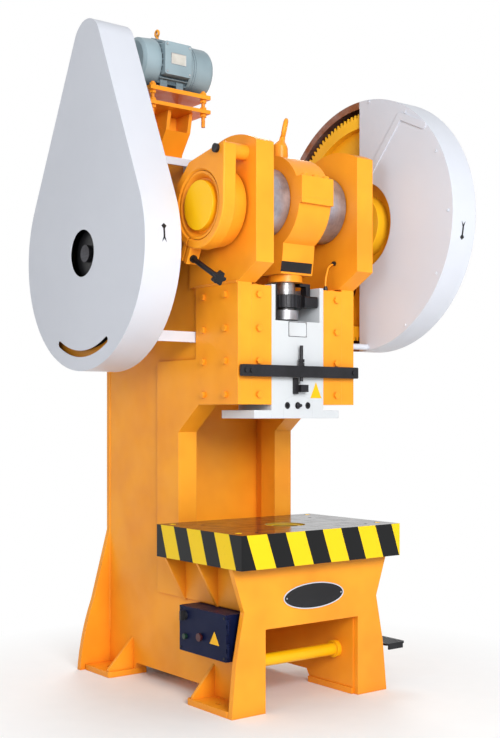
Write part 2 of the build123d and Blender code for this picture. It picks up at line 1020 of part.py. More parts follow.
def radial_block(angle, r0, r1, along, width, x0, x1):
    """Block that stands out from the brake ring: along shifts it round the ring."""
    place = Pos(crank_y, crank_z) * Rot(0, 0, angle) * Pos((r0 + r1) / 2, along)
    return slab_x(place * Rectangle(r1 - r0, width), x0, x1)


def brake_plate_outline():
    """Rim circle of the brake ring, drawn out at the top to the lug of the anchor bolt."""
    circles = [Pos(crank_y, crank_z) * Circle(brake_ring_r)]
    circles += [Pos(y, z) * Circle(r) for y, z, r in brake_lug_corners]
    return make_hull([edge for circle in circles for edge in circle.edges()])


def brake_casing():
    """Split clamp ring round the brake drum: a plate with the anchor lug, and a tapered ring behind it."""
    plate_back = brake_left + brake_plate_t
    profile = [
        (brake_left, brake_lip_r + 8),
        (brake_left + 8, brake_lip_r),
        (brake_left + brake_lip_w, brake_lip_r),
        (brake_left + brake_lip_w, brake_ring_inner),
        (brake_right, brake_ring_inner),
        (brake_right, 0),
        (brake_left, 0),
    ]
    ring = slab_x(brake_plate_outline(), brake_left, plate_back)
    ring = chamfer(ring.edges().filter_by_position(Axis.X, brake_left, brake_left), 4)
    ring += turned_x(crank_y, crank_z, [
        (plate_back - 1, 0),
        (plate_back - 1, brake_ring_r - 2),
        (brake_right, brake_back_r),
        (brake_right, 0),
    ])
    ring += rod_x(brake_anchor_y, brake_anchor_z, brake_boss_r, plate_back, -frame_outer)
    ear_shift = (brake_split_gap + brake_ear_t) / 2
    for side in (-1, 1):
        ring += radial_block(
            brake_split_angle, brake_ring_r - 14, brake_ear_r, side * ear_shift, brake_ear_t, brake_left + 4, plate_back
        )
    ring -= turned_x(crank_y, crank_z, profile)
    ring -= radial_block(
        brake_split_angle, brake_lip_r - 10, brake_ear_r + 5, 0, brake_split_gap, brake_left, brake_right
    )
    ring -= rod_x(brake_anchor_y, brake_anchor_z, brake_anchor_r, brake_left, -frame_outer)
    return ring - brake_screw_line(brake_screw_r + moving_gap, -60, 60)


def brake_screw_plane():
    """Plane in the middle of the ring's split, square to the brake screw."""
    angle = radians(brake_split_angle)
    y, z = polar((crank_y, crank_z), brake_screw_place, angle)
    origin = (brake_left + brake_plate_t / 2, y, z)
    return Plane(origin=origin, x_dir=(1, 0, 0), z_dir=(0, sin(angle), -cos(angle)))


def brake_screw_line(r, start, end):
    """Rod through both lower ears of the brake ring, along the ring, from start to end."""
    return extrude(brake_screw_plane().offset(start) * Circle(r), end - start)


def brake_lining():
    lining_left = brake_left + brake_lip_w
    ring = rod_x(crank_y, crank_z, brake_ring_inner, lining_left, brake_right)
    ring -= rod_x(crank_y, crank_z, brake_drum_r + moving_gap, lining_left, brake_right)
    return ring - radial_block(
        brake_split_angle, brake_drum_r - 5, brake_ring_r, 0, brake_split_gap, lining_left, brake_right
    )


def brake_spindle():
    """Brake setting screw with its spring sleeve and star knob, and the bolt of the upper lug."""
    ear_face = brake_split_gap / 2 + brake_ear_t
    knob_end = brake_knob_start + brake_knob_t
    screw = brake_screw_line(brake_screw_r, -ear_face - 16, knob_end)
    screw += brake_screw_line(brake_sleeve_r + 5, -ear_face - 14, -ear_face)
    screw += brake_screw_line(brake_sleeve_r + 5, ear_face, ear_face + 12)
    screw += brake_screw_line(brake_sleeve_r, ear_face + 12, brake_knob_start - 6)
    screw += brake_screw_line(brake_knob_r, brake_knob_start, knob_end)
    lobes = ring_of((0, 0), brake_knob_r + 1, 5, Circle(brake_lobe_r))
    screw += extrude(brake_screw_plane().offset(brake_knob_start) * lobes, brake_knob_t)
    bolt = rod_x(brake_anchor_y, brake_anchor_z, brake_anchor_r, brake_left, -frame_outer)
    bolt += rod_x(brake_anchor_y, brake_anchor_z, brake_anchor_r + 7, brake_left - 14, brake_left)
    return group([screw, bolt])


def conrod_outline():
    """Big end above and tapering neck below, drawn in Y and Z with hollow curves between them."""
    neck_z = rod_bottom + rod_flange_t
    start = radians(-62)
    right = polar((crank_y, pin_z), big_end_r, start)
    left = (2 * crank_y - right[0], right[1])
    bend_y = neck_half_y + neck_swell
    bend_z = neck_z + neck_swell_z
    edges = [
        ThreePointArc(left, (crank_y, pin_z + big_end_r), right),
        ThreePointArc(right, (crank_y + bend_y, bend_z), (crank_y + neck_half_y, neck_z)),
        Line((crank_y + neck_half_y, neck_z), (crank_y - neck_half_y, neck_z)),
        ThreePointArc((crank_y - neck_half_y, neck_z), (crank_y - bend_y, bend_z), left),
    ]
    return make_face(edges)


def rod_body():
    body = slab_x(conrod_outline(), -rod_half, rod_half)
    lug_depth = 2 * (crank_y - lug_front)
    lug = Pos(crank_y, pin_z + (lug_top - lug_bottom) / 2) * Rectangle(lug_depth, lug_top + lug_bottom)
    body += slab_x(lug, -rod_half, rod_half)
    body -= rod_x(crank_y, pin_z, crankpin_r + big_end_bush_wall, -rod_half, rod_half)
    return body


def cap_bolt_places():
    inset = lug_front + 19
    return [(i * cap_bolt_pitch, y) for i in (-1, 0, 1) for y in (inset, 2 * crank_y - inset)]


def conrod():
    """Lower half of the big end with the neck and the flange that the ram screw enters."""
    body = rod_body() - block(-rod_half, rod_half, 0, 2 * crank_y, pin_z, pin_z + big_end_r)
    body += rod_z(0, crank_y, rod_flange_r, rod_bottom, rod_bottom + rod_flange_t)
    for x, y in cap_bolt_places():
        body -= rod_z(x, y, cap_bolt_r, pin_z - lug_bottom, pin_z)
    return body - rod_z(0, crank_y, screw_r, rod_bottom, rod_bottom + screw_depth)


def conrod_cap():
    body = rod_body() - block(-rod_half, rod_half, 0, 2 * crank_y, rod_bottom, pin_z)
    for x, y in cap_bolt_places():
        body -= rod_z(x, y, cap_bolt_r, pin_z, pin_z + lug_top)
    return body - rod_z(eye_bolt_x, crank_y, 12, pin_z + big_end_r - 50, pin_z + big_end_r)


def cap_bolts():
    bolts = []
    for x, y in cap_bolt_places():
        top = pin_z + lug_top
        head = slab_z(Pos(x, y) * RegularPolygon(15, 6), top, top + 12)
        bolts.append(head + rod_z(x, y, cap_bolt_r, pin_z - lug_bottom, top))
    return group(bolts)


def big_end_bush():
    bush = rod_x(crank_y, pin_z, crankpin_r + big_end_bush_wall, -rod_half, rod_half)
    return bush - rod_x(crank_y, pin_z, crankpin_r + running_gap, -rod_half, rod_half)


def conrod_eye_bolt():
    """Lifting eye of the big end: a shouldered stem and a long loop."""
    top = pin_z + big_end_r
    stem = turned_z(eye_bolt_x, crank_y, [
        (0, top - eye_thread),
        (12, top - eye_thread),
        (12, top),
        (24, top),
        (24, top + 10),
        (14, top + 26),
        (12, top + eye_stem),
        (0, top + eye_stem),
    ])
    path = (Plane.XZ * SlotCenterToCenter(eye_straight, 2 * eye_loop_r, rotation=90)).face().outer_wire()
    loop = sweep(Plane(origin=path @ 0, z_dir=path % 0) * Circle(eye_wire_r), path=path)
    middle = top + eye_stem + eye_straight / 2 + eye_loop_r - 4
    return stem + Pos(eye_bolt_x, crank_y, middle) * Rot(0, 0, eye_turn) * loop


def ram_screw():
    """Adjusting screw of the ram, with the ball that stands in the slide's cup."""
    screw = rod_z(0, crank_y, screw_r, ratchet_bottom, rod_bottom + screw_depth)
    neck = rod_z(0, crank_y, screw_neck_r, ball_z, ratchet_bottom)
    return screw + neck + Pos(0, crank_y, ball_z) * Sphere(ball_r)


def ratchet_ring():
    teeth = ring_of((0, crank_y), ratchet_r, ratchet_teeth, Rectangle(ratchet_tooth, ratchet_tooth))
    ring = slab_z(Pos(0, crank_y) * Circle(ratchet_r) + teeth, ratchet_bottom, ratchet_top)
    return ring - rod_z(0, crank_y, screw_r, ratchet_bottom, ratchet_top)


def screw_clamp():
    """Clamp that locks the ratchet ring: a block beside the ring on an arm from the rod's flange."""
    right = pocket_half - clamp_side_gap
    body = block(clamp_left, right, crank_y - clamp_reach, crank_y - clamp_back, ratchet_bottom + 2, ratchet_top - 4)
    body = fillet(body.edges().filter_by(Axis.X), clamp_round)
    body -= rod_z(0, crank_y, ratchet_r + ratchet_tooth / 2 + moving_gap, ratchet_bottom, ratchet_top)
    arm_left = right - clamp_arm_t
    arm = block(arm_left, right, crank_y - clamp_arm_w, crank_y, ratchet_bottom + 8, rod_bottom)
    arm += block(rod_flange_r - clamp_arm_t, right, crank_y - clamp_arm_w, crank_y, rod_bottom - 14, rod_bottom)
    return body + arm


def ball_cup():
    cup = rod_z(0, crank_y, cup_r, cup_bottom, cup_top)
    return cup - Pos(0, crank_y, ball_z) * Sphere(ball_r + running_gap)


def bull_gear():
    disc = slab_x(gear_face_outline((crank_y, crank_z), gear_teeth, mesh_angle), gear_left, gear_right)
    rim_r = pitch_r_gear - gear_rim
    middle = (gear_left + gear_right) / 2
    web0, web1 = middle - gear_web_t / 2, middle + gear_web_t / 2
    pocket = Pos(crank_y, crank_z) * (Circle(rim_r) - Circle(gear_hub_r))
    disc -= slab_x(pocket, gear_left, web0)
    disc -= slab_x(pocket, web1, gear_right)
    disc += rod_x(crank_y, crank_z, gear_hub_r, gear_hub_left, gear_left)
    holes = ring_of((crank_y, crank_z), (rim_r + gear_hub_r) / 2, gear_holes, Circle(gear_hole_r))
    disc -= slab_x(holes, web0, web1)
    return disc - rod_x(crank_y, crank_z, gear_bore_r, gear_hub_left, gear_right)


def gear_bush():
    bush = rod_x(crank_y, crank_z, gear_bore_r, gear_hub_left, gear_right)
    return bush - rod_x(crank_y, crank_z, journal_r + running_gap, gear_hub_left, gear_right)


def pinion_shaft():
    """Back shaft with its pinion cut in one piece, shouldered for the flywheel."""
    shaft = rod_x(back_shaft_y, back_shaft_z, back_shaft_r, -frame_outer - 140, gear_left - 20)
    shaft += rod_x(back_shaft_y, back_shaft_z, back_shaft_r - 5, back_shaft_left, -frame_outer - 140)
    first = mesh_angle + pi + pi / pinion_teeth
    teeth = gear_face_outline((back_shaft_y, back_shaft_z), pinion_teeth, first)
    shaft += slab_x(teeth, gear_left - 2, gear_right + 2)
    return shaft + rod_x(back_shaft_y, back_shaft_z, back_shaft_r - 5, gear_left - 20, back_shaft_right)


def shaft_housings():
    profile = [
        (side_inner, back_shaft_r + running_gap),
        (side_inner, housing_r),
        (side_outer, housing_r),
        (side_outer, housing_flange_r),
        (side_outer + housing_flange_t, housing_flange_r),
        (side_outer + housing_flange_t, housing_r - 8),
        (side_outer + housing_flange_t + 26, housing_r - 20),
        (side_outer + housing_flange_t + 26, back_shaft_r + running_gap),
    ]
    return both_sides(turned_x(back_shaft_y, back_shaft_z, profile))


def groove_profile(rim_x0, rim_r, count, inner_r, rim_x1):
    """Rim section with V grooves for the belts, as (x, radius) points."""
    middle = (rim_x0 + rim_x1) / 2
    top_half = belt_top_w / 2 + belt_clearance
    bottom_half = belt_bottom_w / 2 + belt_clearance
    floor_r = rim_r - belt_h - 3
    points = [(rim_x0, inner_r), (rim_x0, rim_r)]
    for i in range(count):
        x = middle + (i - (count - 1) / 2) * belt_pitch
        points += [(x - top_half, rim_r), (x - bottom_half, floor_r), (x + bottom_half, floor_r), (x + top_half, rim_r)]
    return points + [(rim_x1, rim_r), (rim_x1, inner_r)]


def flywheel():
    x0, x1 = flywheel_left, flywheel_left + flywheel_w
    middle = (x0 + x1) / 2
    rim_inner = flywheel_r - flywheel_rim
    wheel = turned_x(back_shaft_y, back_shaft_z, groove_profile(x0, flywheel_r, belt_count, rim_inner, x1))
    centre = (back_shaft_y, back_shaft_z)
    web = rod_x(*centre, rim_inner, middle - flywheel_web_t / 2, middle + flywheel_web_t / 2)
    holes = ring_of(centre, (rim_inner + flywheel_hub_r) / 2, flywheel_holes, Circle(flywheel_hole_r))
    web -= slab_x(holes, x0, x1)
    wheel += web + rod_x(*centre, flywheel_hub_r, x0 + 4, x1 + 30)
    return wheel - rod_x(*centre, back_shaft_r - 5, x0, x1 + 30)


def motor_pulley():
    """Pulley with the motor's shaft, which runs in the end shield."""
    x1 = pulley_left + flywheel_w
    pulley = turned_x(motor_y, motor_z, groove_profile(pulley_left, pulley_r, belt_count, motor_shaft_r, x1))
    return pulley + rod_x(motor_y, motor_z, motor_shaft_r, pulley_left, motor_left + 60)


def belt_path(c1, r1, c2, r2, x):
    """Closed line of a belt round two wheels, in the plane at x."""
    flat = belt_shape(c1, r1, c2, r2)
    return (Plane.YZ.offset(x) * flat).face().outer_wire()


def v_belts():
    """V belts in the grooves of the flywheel and the pulley, each one a wedge-shaped loop."""
    belts = []
    c1, c2 = (back_shaft_y, back_shaft_z), (motor_y, motor_z)
    middle = flywheel_left + flywheel_w / 2
    for i in range(belt_count):
        x = middle + (i - (belt_count - 1) / 2) * belt_pitch
        path = belt_path(c1, flywheel_r - 1, c2, pulley_r - 1, x)
        start, along = path @ 0, path % 0
        inward = Vector(0, back_shaft_y - start.Y, back_shaft_z - start.Z).normalized()
        section = Plane(origin=start, x_dir=(1, 0, 0), z_dir=along)
        side = 1 if section.y_dir.dot(inward) > 0 else -1
        wedge = outline(
            (-belt_top_w / 2, 0),
            (belt_top_w / 2, 0),
            (belt_bottom_w / 2, side * belt_h),
            (-belt_bottom_w / 2, side * belt_h),
        )
        belts.append(sweep(section * wedge, path=path))
    return group(belts)


def belt_guard():
    c1, c2 = (back_shaft_y, back_shaft_z), (belt_guard_top_y, belt_guard_top_z)

    def loop(inset):
        return belt_shape(c1, belt_guard_r - inset, c2, belt_guard_top_r - inset)

    guard = slab_x(loop(0), belt_guard_left, belt_guard_left + guard_sheet)
    guard += slab_x(loop(0) - loop(guard_sheet), belt_guard_left, belt_guard_right)
    guard += slab_x(loop(0) - loop(guard_lip), belt_guard_right - guard_sheet, belt_guard_right)
    guard -= rod_x(*c1, belt_guard_hole_r, belt_guard_left, belt_guard_left + guard_sheet)
    half = radians(window_angle)
    window_path = ThreePointArc(polar(c1, window_r, -pi / 2 - half), polar(c1, window_r, -pi / 2),
                                polar(c1, window_r, -pi / 2 + half))
    window = SlotArc(window_path, window_w)
    return guard - slab_x(window, belt_guard_left, belt_guard_left + guard_sheet)


def guard_arm(z, h, side, drop, foot):
    """Flat bar from the belt guard's lip to the side plate, with a foot turned at each end."""
    reach_r = belt_guard_r - guard_lip / 2
    y = back_shaft_y + side * sqrt(reach_r**2 - (z - back_shaft_z) ** 2)
    x0, x1 = belt_guard_right, -side_outer
    near, far = y + side * arm_t / 2, y - side * foot
    bar = block(x0, x1, y - arm_t / 2, y + arm_t / 2, z - h / 2, z + h / 2)
    bar += block(x0, x0 + arm_t, near, y - side * guard_lip / 2, z - h / 2, z + h / 2)
    return bar + block(x1 - arm_t, x1, near, far, z - h / 2 - drop, z + h / 2)


def belt_guard_arms():
    """Three arms: below in front and behind, and one in front by the top of the column."""
    return [
        guard_arm(lower_arm_z, arm_h, -1, 0, arm_foot),
        guard_arm(rear_arm_z, arm_h, 1, 0, arm_foot),
        guard_arm(upper_arm_z, upper_arm_h, -1, upper_arm_drop, upper_arm_foot),
    ]


def gear_guard():
    c1, c2 = (crank_y, crank_z), (back_shaft_y, back_shaft_z)

    def loop(inset):
        return belt_shape(c1, gear_guard_r - inset, c2, gear_guard_pinion_r - inset)

    sheet = guard_sheet
    guard = slab_x(loop(0), gear_guard_right - sheet, gear_guard_right)
    guard += slab_x(loop(0) - loop(sheet), gear_guard_left, gear_guard_right)
    guard += slab_x(loop(0) - loop(guard_lip), gear_guard_left, gear_guard_left + sheet)
    big = 2 * gear_guard_r
    front_half = Pos(crank_y - big / 2, crank_z) * Rectangle(big, big)
    face = (loop(0) & front_half) - Pos(*c1) * Circle(gear_guard_hub_r)
    return guard + slab_x(face, gear_guard_left, gear_guard_left + sheet)


def gear_guard_brackets():
    """Bent brace on the guard's inner face, with the stand-off posts between guard and frame."""
    x0 = gear_guard_left - brace_t
    low, bend, tip = (225, 2425), (4, 2680), (-146, 2608)
    pieces = Polygon(*strip_corners(low, bend), align=None) + Polygon(*strip_corners(bend, tip), align=None)
    brace = slab_x(pieces + Pos(*bend) * Circle(brace_w / 2) + Pos(*tip) * Circle(brace_w / 2), x0, gear_guard_left)
    brace += rod_x(*low, spacer_r, frame_outer, gear_guard_left)
    posts = [brace]
    for angle in (-95, -50):
        y, z = polar((crank_y, crank_z), gear_guard_r - guard_lip / 2, radians(angle))
        start = frame_outer if z < head_bottom and y < cheek_back else side_outer
        posts.append(rod_x(y, z, spacer_r, start, gear_guard_left))
    posts.append(rod_x(*gear_guard_rear_place(), spacer_r, side_outer, gear_guard_left))
    return posts


def gear_guard_rear_place():
    """Middle of the guard's upper straight edge, behind the bull gear."""
    spread = acos((gear_guard_r - gear_guard_pinion_r) / centre_distance)
    inset = guard_lip / 2
    high = polar((crank_y, crank_z), gear_guard_r - inset, mesh_angle + spread)
    low = polar((back_shaft_y, back_shaft_z), gear_guard_pinion_r - inset, mesh_angle + spread)
    return ((high[0] + low[0]) / 2, (high[1] + low[1]) / 2)


def strip_corners(a, b):
    """Corners of a strip of brace width from a to b."""
    angle = atan2(b[1] - a[1], b[0] - a[0]) + pi / 2
    w = brace_w / 2
    return [polar(a, w, angle), polar(b, w, angle), polar(b, -w, angle), polar(a, -w, angle)]


def motor_bracket():
    """Tray on webs above the column, which the motor's base plate is adjusted over."""
    tray = block(base_left, base_right, base_front, base_back, tray_top - tray_t, tray_top)
    foot_z = column_top + plate_t
    front_top = (base_front + 55, tray_top - tray_t)
    knee = (base_front + 75, web_knee_z)
    toe = (base_front + web_toe, foot_z)
    web_shape = outline(front_top, knee, toe, (base_back + 60, foot_z), (base_back - 10, tray_top - tray_t))
    for x in (-side_outer, tray_web_x):
        tray += slab_x(web_shape, x, x + tray_t)
    back_y = base_back - 100
    apron = outline(knee, toe, (toe[0] + tray_t, foot_z), (knee[0] + tray_t, web_knee_z))
    tray += slab_x(apron, -side_outer, tray_web_x + tray_t)
    rear = outline(
        (-side_outer, foot_z),
        (tray_web_x + tray_t, foot_z),
        (base_right - 10, tray_top - tray_t),
        (base_left + 20, tray_top - tray_t),
    )
    tray += slab_y(rear, back_y - tray_t / 2, back_y + tray_t / 2)
    for x, y in motor_stud_places():
        tray -= rod_z(x, y, motor_stud_r, tray_top - tray_t, tray_top)
    return tray


def motor_stud_places():
    inset = 26
    return [(x, y) for x in (base_left + inset, base_right - inset) for y in (base_front + inset, base_back - inset)]


def motor_base():
    plate = block(base_left, base_right, base_front, base_back, base_top - base_t, base_top)
    for x, y in motor_stud_places():
        plate -= rod_z(x, y, motor_stud_r, base_top - base_t, base_top)
    return plate


def motor_studs():
    studs = []
    for x, y in motor_stud_places():
        stud = rod_z(x, y, motor_stud_r, motor_stud_bottom, base_top + 22)
        for z in (base_top, base_top - base_t - 14, tray_top, tray_top - tray_t - 14):
            stud += slab_z(Pos(x, y) * RegularPolygon(17, 6), z, z + 14)
        studs.append(stud)
    return group(studs)


def motor_body():
    """Finned motor shell with end shield, feet, terminal box and lifting eye."""
    cowl_x = motor_right - motor_cowl_w
    shield_x = motor_left + motor_shield_w
    shell = turned_x(
        motor_y,
        motor_z,
        [
            (motor_left, motor_shaft_r + running_gap),
            (motor_left, 52),
            (motor_left + 12, 60),
            (motor_left + 20, motor_shell_r - 12),
            (motor_left + 34, motor_shell_r + 4),
            (shield_x, motor_shell_r + 10),
            (shield_x + motor_rim_w, motor_shell_r + 10),
            (shield_x + motor_rim_w, motor_shell_r),
            (cowl_x - motor_rim_w, motor_shell_r),
            (cowl_x - motor_rim_w, motor_cowl_r),
            (cowl_x, motor_cowl_r),
            (cowl_x, 0),
            (motor_left + 62, 0),
            (motor_left + 62, motor_shaft_r + running_gap),
        ],
    )
    fin_root = motor_shell_r - 4
    fin = Rectangle(motor_fin_r - fin_root, motor_fin_t)
    fins = ring_of((motor_y, motor_z), (motor_fin_r + fin_root) / 2, motor_fins, fin)
    shell += slab_x(fins, shield_x + motor_rim_w, cowl_x - motor_rim_w)
    for x0 in (shield_x + 20, cowl_x - 80):
        foot = block(x0, x0 + 60, motor_y - motor_foot_y, motor_y + motor_foot_y, base_top, base_top + 16)
        foot += block(x0 + 10, x0 + 50, motor_y - 80, motor_y + 80, base_top, motor_z - 60)
        shell += foot
    terminal = block(
        terminal_left, terminal_right, motor_y - terminal_reach, motor_y - 90, motor_z - terminal_drop, motor_z + terminal_rise
    )
    shell += fillet(terminal.edges().filter_by(Axis.Y), 10)
    shell += rod_z(motor_eye_x, motor_y, 8, motor_z + 100, motor_z + motor_eye_rise - 12)
    return shell + Pos(motor_eye_x, motor_y, motor_z + motor_eye_rise) * Rot(0, 90, 0) * Torus(14, 6)


def fan_cowl():
    cowl_x = motor_right - motor_cowl_w
    wall = motor_cowl_wall
    outer = rod_x(motor_y, motor_z, motor_cowl_r, cowl_x, motor_right)
    outer = fillet(outer.edges().filter_by(GeomType.CIRCLE).sort_by(Axis.X)[-1], 26)
    inner = rod_x(motor_y, motor_z, motor_cowl_r - wall, cowl_x, motor_right - wall - 22)
    cowl = outer - inner
    grille = ring_of((motor_y, motor_z), 52, 12, Circle(9))
    return cowl - slab_x(grille, cowl_x, motor_right)


def control_box():
    s = box_sheet
    shell = block(box_left + door_t + 1, box_right, box_front, box_back, box_bottom, box_top)
    shell -= block(box_left, box_right - s, box_front + s, box_back - s, box_bottom + s, box_top - s)
    gland_y = box_back - gland_inset
    gland = rod_z(gland_x, gland_y, gland_r, box_bottom - gland_h, box_bottom)
    gland -= rod_z(gland_x, gland_y, gland_bore_r, box_bottom - gland_h, box_bottom)
    shell -= rod_z(gland_x, gland_y, gland_bore_r, box_bottom - gland_h, box_bottom + s)
    for z in hinge_rows():
        shell += rod_z(box_left + door_t, hinge_y, hinge_r, z, z + hinge_len)
        shell += block(box_left + door_t + 1, box_left + door_t + 12, box_front - 4, box_front, z, z + hinge_len)
    return shell + gland


def hinge_rows():
    """Heights of the two hinges, at the lower end of the box's own barrel."""
    return (box_bottom + 2 * hinge_len, box_top - 3 * hinge_len)


def contactor_panel():
    x = box_right - box_sheet
    panel = block(x - 4, x, box_front + 20, box_back - 20, box_bottom + 15, box_top - 15)
    for y, w in ((box_front + 50, 60), (box_front + 130, 60), (box_front + 215, 45)):
        panel += block(x - 62, x - 4, y, y + w, box_bottom + 90, box_top - 35)
    return panel + block(x - 44, x - 4, box_front + 45, box_back - 45, box_bottom + 35, box_bottom + 62)


def control_door():
    """Door of the control box, with a turned edge and holes for the switch and the buttons."""
    x0 = box_left
    door = block(x0, x0 + door_t, box_front, box_back, box_bottom, box_top)
    door = fillet(door.edges().filter_by(Axis.X), 4)
    for y, z in (switch_place, start_place, stop_place):
        door -= rod_x(y, z, button_hole_r, x0, x0 + door_t)
    for z in hinge_rows():
        for z0 in (z - hinge_len - slide_gap, z + hinge_len + slide_gap):
            door += rod_z(box_left + door_t, hinge_y, hinge_r, z0, z0 + hinge_len)
            door += block(box_left, box_left + door_t, hinge_y, box_front + 2, z0, z0 + hinge_len)
    return door


def main_switch():
    y, z = switch_place
    x0 = box_left
    knob = rod_x(y, z, button_hole_r - slide_gap, x0 - 3, x0 + door_t + 16)
    knob += rod_x(y, z, 21, x0 - 12, x0 - slide_gap)
    return knob + block(x0 - 28, x0 - 12, y - 5, y + 5, z - 21, z + 21)


def push_button(place, r, proud):
    y, z = place
    x0 = box_left
    button = rod_x(y, z, button_hole_r - slide_gap, x0 - proud, x0 + door_t + 14)
    return button + rod_x(y, z, r, x0 - proud - 8, x0 - proud)


def pedal_bracket():
    """Flange on the side plate with the pin that the pedal turns on."""
    size = 110
    x0 = side_outer
    flange = block(x0, x0 + 16, pedal_pivot_y - size / 2, pedal_pivot_y + size / 2,
                   pedal_pivot_z - size / 2, pedal_pivot_z + size / 2)
    flange = fillet(flange.edges().filter_by(Axis.X), 10)
    flange += rod_x(pedal_pivot_y, pedal_pivot_z, pedal_hub_r, x0 + 16, x0 + 30)
    flange += rod_x(pedal_pivot_y, pedal_pivot_z, pedal_pin_r, x0 + 30, pedal_arm_x + 18)
    trip = rod_x(pedal_pivot_y, trip_pivot_z, pedal_hub_r, x0, link_left - moving_gap)
    trip += rod_x(pedal_pivot_y, trip_pivot_z, pedal_pin_r, link_left - moving_gap, link_left + link_t + 10)
    return group([flange, trip])


def pedal():
    """Treadle: a hub on the bracket's pin, an arm to the foot plate and a rear arm to the pull rod."""
    y, z = pedal_pivot_y, pedal_pivot_z
    x0 = side_outer + 30 + moving_gap
    hub = rod_x(y, z, pedal_hub_r, x0, pedal_arm_x + 12)
    front = pedal_front + pedal_pad_len
    arm_half = 15
    arm = outline((y, z - 20), (y, z + 20), (front, z - 4), (pedal_front + 60, z - 4), (pedal_front + 60, z - 16),
                  (front, z - 24))
    hub += slab_x(arm, pedal_arm_x - 8, pedal_arm_x + 8)
    hub += slab_x(Pos(y + link_arm / 2, z) * Rectangle(link_arm, 2 * arm_half), link_left, link_left + link_t)
    hub += rod_x(y + link_arm, z, link_eye_r, link_left, link_left + link_t)
    pin = rod_x(y + link_arm, z, link_pin_r, link_left, link_left + 2 * link_t + moving_gap + 4)
    pad = block(pedal_pad_x - pedal_pad_half, pedal_pad_x + pedal_pad_half, pedal_front, front, z - 4, z + 6)
    pad = fillet(pad.edges().filter_by(Axis.Z), 16)
    lip = block(pedal_pad_x - pedal_pad_half + 16, pedal_pad_x + pedal_pad_half - 16, pedal_front, pedal_front + 8,
                z - 24, z - 4)
    hub += pad + lip
    hub -= rod_x(y, z, pedal_pin_r + running_gap, x0, pedal_arm_x + 12)
    return hub + pin


def pedal_rod():
    """Rod from the treadle up to the trip lever, with a flat eye at each end."""
    y = pedal_pivot_y + link_arm
    x0 = link_left + link_t + moving_gap
    x1 = x0 + link_t
    rod = rod_z((x0 + x1) / 2, y, pedal_rod_r, pedal_pivot_z + link_eye_r - 2, trip_pivot_z - link_eye_r + 2)
    for z in (pedal_pivot_z, trip_pivot_z):
        rod += rod_x(y, z, link_eye_r, x0, x1)
    rod -= rod_x(y, pedal_pivot_z, link_pin_r + running_gap, x0, x1)
    return rod - rod_x(y, trip_pivot_z, link_pin_r + slide_gap, x0, x1)


def trip_contact(r):
    """Place of the trip lever's tip on a circle of radius r round the crankshaft."""
    return polar((crank_y, crank_z), r, radians(trip_tip_angle))


def trip_lever():
    """Bell-crank that holds the clutch out until the pedal's rod turns it."""
    x0, x1 = link_left, link_left + link_t
    tip = trip_contact(clutch_r + trip_tip_gap + trip_tip_r)
    pivot = (pedal_pivot_y, trip_pivot_z)
    angle = atan2(tip[1] - pivot[1], tip[0] - pivot[0])
    length = hypot(tip[0] - pivot[0], tip[1] - pivot[1])
    beam = Pos(*pivot) * Rot(0, 0, degrees(angle)) * Pos(length / 2, 0) * Rectangle(length, 2 * trip_tip_r)
    lever = slab_x(beam, x0, x1) + rod_x(*tip, trip_tip_r, x0, x1)
    lever += rod_x(*pivot, pedal_hub_r, x0, x1)
    lever += slab_x(Pos(pivot[0] + link_arm / 2, pivot[1]) * Rectangle(link_arm, 30), x0, x1)
    lever += rod_x(pivot[0] + link_arm, pivot[1], link_eye_r, x0, x1)
    lever += rod_x(pivot[0] + link_arm, pivot[1], link_pin_r, x0, x1 + link_t + moving_gap + 4)
    return lever - rod_x(*pivot, pedal_pin_r + running_gap, x0, x1)


def build_parts():
    right_side = side_plate()
    return {
        "side_plate_right": right_side,
        "side_plate_left": mirrored(right_side),
        "doubler_plates": both_sides(doubler_plate()),
        "head_blocks": both_sides(head_block()),
        "cross_plates": cross_plates(),
        "column_rear_plate": column_rear_plate(),
        "bed_front_plate": bed_front_plate(),
        "bed_ribs": bed_ribs(),
        "foot_pads": foot_pads(),
        "tie_bar": tie_bar(),
        "bolster": bolster(),
        "slide_guides": slide_guides(),
        "frame_bolts": group(guide_bolts() + bolster_bolts()),
        "knockout_bar": knockout_bar(),
        "knockout_screws": knockout_screws(),
        "crank_bushes": crank_bushes(),
        "shaft_housings": shaft_housings(),
        "belt_guard": belt_guard(),
        "gear_guard": gear_guard(),
        "guard_brackets": group(belt_guard_arms() + gear_guard_brackets()),
        "motor_bracket": motor_bracket(),
        "motor_base": motor_base(),
        "motor_studs": motor_studs(),
        "motor_body": motor_body(),
        "fan_cowl": fan_cowl(),
        "v_belts": v_belts(),
        "brake_casing": brake_casing(),
        "brake_lining": brake_lining(),
        "brake_spindle": brake_spindle(),
        "control_box": control_box(),
        "contactor_panel": contactor_panel(),
        "pedal_bracket": pedal_bracket(),
        "crankshaft": crankshaft(),
        "clutch_collar": clutch_collar(),
        "brake_drum": brake_drum(),
        "conrod": conrod(),
        "conrod_cap": conrod_cap(),
        "cap_bolts": cap_bolts(),
        "big_end_bush": big_end_bush(),
        "conrod_eye_bolt": conrod_eye_bolt(),
        "ram_screw": ram_screw(),
        "ratchet_ring": ratchet_ring(),
        "screw_clamp": screw_clamp(),
        "ball_cup": ball_cup(),
        "slide": slide(),
        "shank_clamp": shank_clamp(),
        "slide_fittings": slide_fittings(),
        "knockout_pin": knockout_pin(),
        "bull_gear": bull_gear(),
        "gear_bush": gear_bush(),
        "pinion_shaft": pinion_shaft(),
        "flywheel": flywheel(),
        "motor_pulley": motor_pulley(),
        "control_door": control_door(),
        "main_switch": main_switch(),
        "start_button": push_button(start_place, 12.5, 6),
        "stop_button": push_button(stop_place, 18, 8),
        "pedal": pedal(),
        "pedal_rod": pedal_rod(),
        "trip_lever": trip_lever(),
    }


